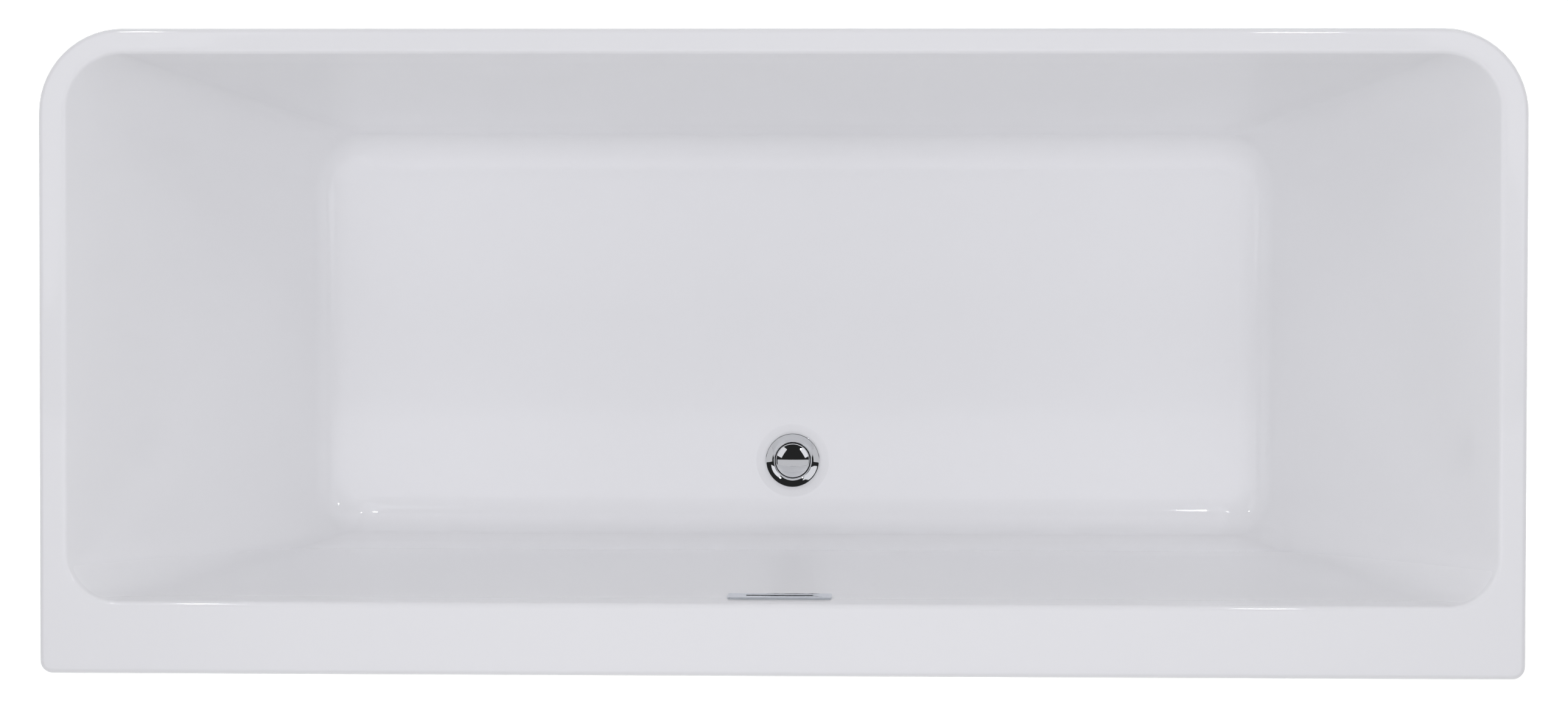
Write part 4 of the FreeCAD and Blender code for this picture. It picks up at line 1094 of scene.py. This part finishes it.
def build_trap():
    low, high, radius = upright("trap_nut")
    turned_piece("trap_nut", "waste_plastic", [
        (24, low), (27, low), (radius - 1.5, low, 0.6), (radius, low + 3, 0.8), (radius, high - 3, 0.8),
        (radius - 1.2, high, 0.6), (24, high),
    ], 180, grip(20, 1.7 * MM, 27.5 * MM))

    low, high, radius = upright("trap_body")
    at = frame_on(Vector((WASTE.x, 0, middle_of(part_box("outlet_nut")).z)), TO_WALL)
    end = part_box("trap_body")[1].y / MM
    bowl = turned("bowl", raised(
        low, (0, 1.2), (12, 1.2), (14, 0, 0.5), (24, 0, 0.5), (radius - 3, 1.5, 2.5), (radius, 8, 4),
        (radius, 20, 0.5), (radius, 21, 0.5),
    ) + raised(high, (radius, -10, 5), (33, -3, 2), (28, -2, 0.8), (28, 0, 0.6), (0, 0)), rounding=0.6 * MM, arc=5)
    neck = turned("neck", raised(PLAN_Y, (0, 20), (24, 20)) + raised(
        end, (24, -9, 0.4), (23.2, -8.4, 0.2), (23.2, 0, 0.5), (0, 0),
    ), rounding=0.4 * MM, at=at)
    hollow = turned("hollow", raised(low, (0, 3), (radius - 3, 3, 3)) + raised(
        high, (radius - 3, -6, 3), (19, -3.5, 1), (19, 1), (0, 1),
    ), rounding=0.5 * MM)
    passage = turned("passage", raised(PLAN_Y, (0, 10), (18.2, 10)) + raised(
        end, (18.2, -15), (20, -15), (20, 1), (0, 1),
    ), rounding=0, at=at)
    boolean(bowl, "UNION", neck)
    boolean(bowl, "DIFFERENCE", hollow, passage)
    dress(bowl, "trap_body", "waste_plastic", radians(32))

    low, high, radius = upright("dip_tube")
    turned_piece("dip_tube", "waste_plastic", [
        (16, low), (radius - 0.4, low), (radius, low + 1), (radius, high - 3), (radius, high), (16, high),
    ], 72)

    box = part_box("outlet_nut")
    start, end, radius = box[0].y / MM, box[1].y / MM, (box[1].x - box[0].x) / 2 / MM
    turned_piece("outlet_nut", "waste_plastic", [
        (20.0, start), (radius - 1, start, 0.6), (radius, start + 2.5, 0.8), (radius, end - 5, 0.8),
        (radius - 2.5, end - 2, 1), (radius - 4, end, 0.6), (20.0, end),
    ], 162, grip(18, 1.5 * MM, 25.5 * MM), at=at)
    first, last = (corner.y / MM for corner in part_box("outlet_pipe"))
    turned_piece("outlet_pipe", "pipe_plastic", [
        (18.2, first), (19.4, first), (19.4, end - 1), (20.0, end - 0.4), (20.0, last - 1.2, 0.8),
        (19.0, last, 0.5), (18.2, last, 0.4),
    ], 96, at=at)


def build_overflow_screws():
    items = []
    thread = [(1.6 - 0.25 * (k % 2), 6 + 0.6 * k) for k in range(7)]
    for box in islands("overflow_screws"):
        local = OVERFLOW.inverted() @ middle_of(box)
        items.append(turned("screw", [
            (0, -0.5), (1.0, -0.5), (1.2, -1.1), (2.4, -1.15), (2.8, -0.6), (2.8, 0), (1.6, 0), *thread,
            (1.6, 22), (0.6, 24), (0, 24),
        ], 32, rounding=0.1 * MM, at=OVERFLOW @ frame_on(Vector((local.x, 0, 0)), TO_WALL)))
    dress(join_meshes("overflow_screw_pair", items), "overflow_screws", "zinc_steel")


def build_hose():
    """The corrugated hose from the overflow down to the waste body, with one bend, and its two nuts."""
    down = (OVERFLOW.to_3x3() @ Vector((0, 0, -1))).normalized()
    along = -TO_WALL
    top_nut, low_nut = middle_of(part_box("hose_nut_top")), middle_of(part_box("hose_nut_bottom"))
    outline = [(14.3, -10), (16.6, -10), (18, -8.4), (18, 7.0), (17.2, 9.2), (16.0, 10), (14.3, 10)]
    for node, middle, axis in (("hose_nut_top", top_nut, -down), ("hose_nut_bottom", low_nut, along)):
        turned_piece(node, "waste_plastic", outline, 120, grip(14, 1.3 * MM, 16.9 * MM), 0.5 * MM,
                     frame_on(middle, axis))
    bend, wave_steps = 65 * MM, 8
    step = 5 * MM / wave_steps
    corner = top_nut + down * ((top_nut.z - low_nut.z) / -down.z)
    turn = down.angle(along)
    reach = bend * tan(turn / 2)
    first, last = top_nut - down * 6 * MM, low_nut + along * 8 * MM
    bend_start, bend_end = corner - down * reach, corner + along * reach
    centre = bend_end + UP * bend
    straight = int((bend_start - first).length / step)
    path = [first.lerp(bend_start, k / straight) for k in range(straight)]
    curved = int(bend * turn / step)
    arm = bend_start - centre
    axis = arm.cross(bend_end - centre).normalized()
    path += [centre + Matrix.Rotation(turn * k / curved, 3, axis) @ arm for k in range(curved)]
    flat = int((last - bend_end).length / step)
    path += [bend_end.lerp(last, k / flat) for k in range(flat + 1)]
    waves = [0.5 - 0.5 * cos(2 * pi * k / wave_steps) for k in range(len(path))]
    radii = [14 * MM - 1.3 * MM * wave ** 1.5 for wave in waves]
    dress(tube_along("corrugated_hose", path, radii, 40), "overflow_hose", "hose_plastic", radians(70))


# ---- studio

def area_light(name, position, target, size, power, lights, mirrored):
    """A rectangular light that lights matt surfaces, is mirrored in bright ones, or both."""
    data = bpy.data.lights.new(name, "AREA")
    data.shape = "RECTANGLE"
    data.size, data.size_y = size
    data.energy = power
    data.color = (0.985, 0.983, 1.026)
    item = placed(name, data)
    item.location = position
    item.rotation_euler = (Vector(target) - Vector(position)).to_track_quat("-Z", "Y").to_euler()
    item.visible_camera = False
    item.visible_diffuse = lights
    item.visible_glossy = mirrored


def build_floor():
    """A round floor that sweeps up into a low wall, far outside the object."""
    reach, sweep_radius, wall_top, steps = 9.0, 1.5, 4.0, 96
    edge = reach - sweep_radius
    sweep = [(0.0, 0.0), (3.0, 0.0), (edge, 0.0)]
    for a in (pi / 2 * k / 8 for k in range(1, 9)):
        sweep.append((edge + sweep_radius * sin(a), sweep_radius - sweep_radius * cos(a)))
    sweep.append((reach, wall_top))
    angles = [2 * pi * k / steps for k in range(steps)]
    vertices = [Vector((radius * cos(a), radius * sin(a), height)) for radius, height in sweep for a in angles]
    faces = []
    for i in range(len(sweep) - 1):
        for k in range(steps):
            following = (k + 1) % steps
            faces.append((i * steps + k, i * steps + following, (i + 1) * steps + following, (i + 1) * steps + k))
    floor = tidy_mesh(new_object("studio_floor", vertices, faces))
    work = bmesh.new()
    work.from_mesh(floor.data)
    for face in work.faces:
        if face.normal.dot(Vector((0, 0, 3)) - face.calc_center_median()) < 0:
            face.normal_flip()
    work.to_mesh(floor.data)
    work.free()
    floor.data.materials.append(studio_floor_finish())


def build_studio():
    build_floor()
    world = bpy.data.worlds.new("studio")
    bpy.context.scene.world = world
    world.use_nodes = True
    background = world.node_tree.nodes["Background"]
    background.inputs["Color"].default_value = (0.95, 0.97, 1.0, 1)
    background.inputs["Strength"].default_value = ROOM_LIGHT

    for setting in LIGHTS:
        area_light(*setting)

    camera_data = bpy.data.cameras.new("camera")
    camera_data.sensor_width = 36
    camera_data.lens = LENS
    camera_data.shift_x, camera_data.shift_y = SHIFT
    camera_data.clip_end = 50
    camera = placed("camera", camera_data)
    forward = (AIM - CAMERA).normalized()
    right = Matrix.Rotation(-ROLL, 3, forward) @ forward.cross(Vector((0, -1, 0))).normalized()
    up = right.cross(forward)
    camera.matrix_world = Matrix.Translation(CAMERA) @ Matrix((right, up, -forward)).transposed().to_4x4()
    bpy.context.scene.camera = camera

    view = bpy.context.scene.view_settings
    view.view_transform = "Standard"
    view.look = "None"
    view.exposure = 0.0


CAMERA = Vector((-0.1220, 0.0133, 3.4686))
AIM = Vector((-0.0646, 0.0590, 0.5800))
ROLL = 0.0022
LENS = 58.22
SHIFT = (-0.0328, 0.0324)
ROOM_LIGHT = 0.02
LIGHTS = (
    ("board", (0, 1.94, 3.55), (0, 1.94, 0), (7.0, 3.6), 43.5, True, True),
    ("fill_top", (0, 0, 3.65), (0, 0, 0), (2.4, 1.6), 40.2, True, False),
    ("fill_front", (0, -2.40, 2.40), (0, 0.15, 0.30), (4.0, 1.4), 14.4, True, False),
    ("fill_back", (0, 2.40, 2.60), (0, -0.15, 0.30), (4.0, 1.4), 4.8, True, False),
    ("box_left", (1.41, -0.78, 1.85), (0.1, 0.05, 0.3), (1.2, 1.1), 3.1, True, True),
    ("box_right", (-1.41, -0.78, 1.85), (-0.1, 0.05, 0.3), (1.2, 1.1), 3.4, True, True),
    ("bulb_left", (1.36, -1.91, 1.95), (0, 0, 0.4), (0.12, 0.12), 4.0, False, True),
    ("bulb_right", (-0.86, -1.11, 2.14), (0, 0, 0.4), (0.12, 0.12), 3.0, False, True),
)

build_shell()
build_backing()
build_skirt()
build_flat_pieces()
build_screws()
build_feet()
build_waste()
build_waste_body()
build_trap()
build_overflow_screws()
build_hose()
build_studio()
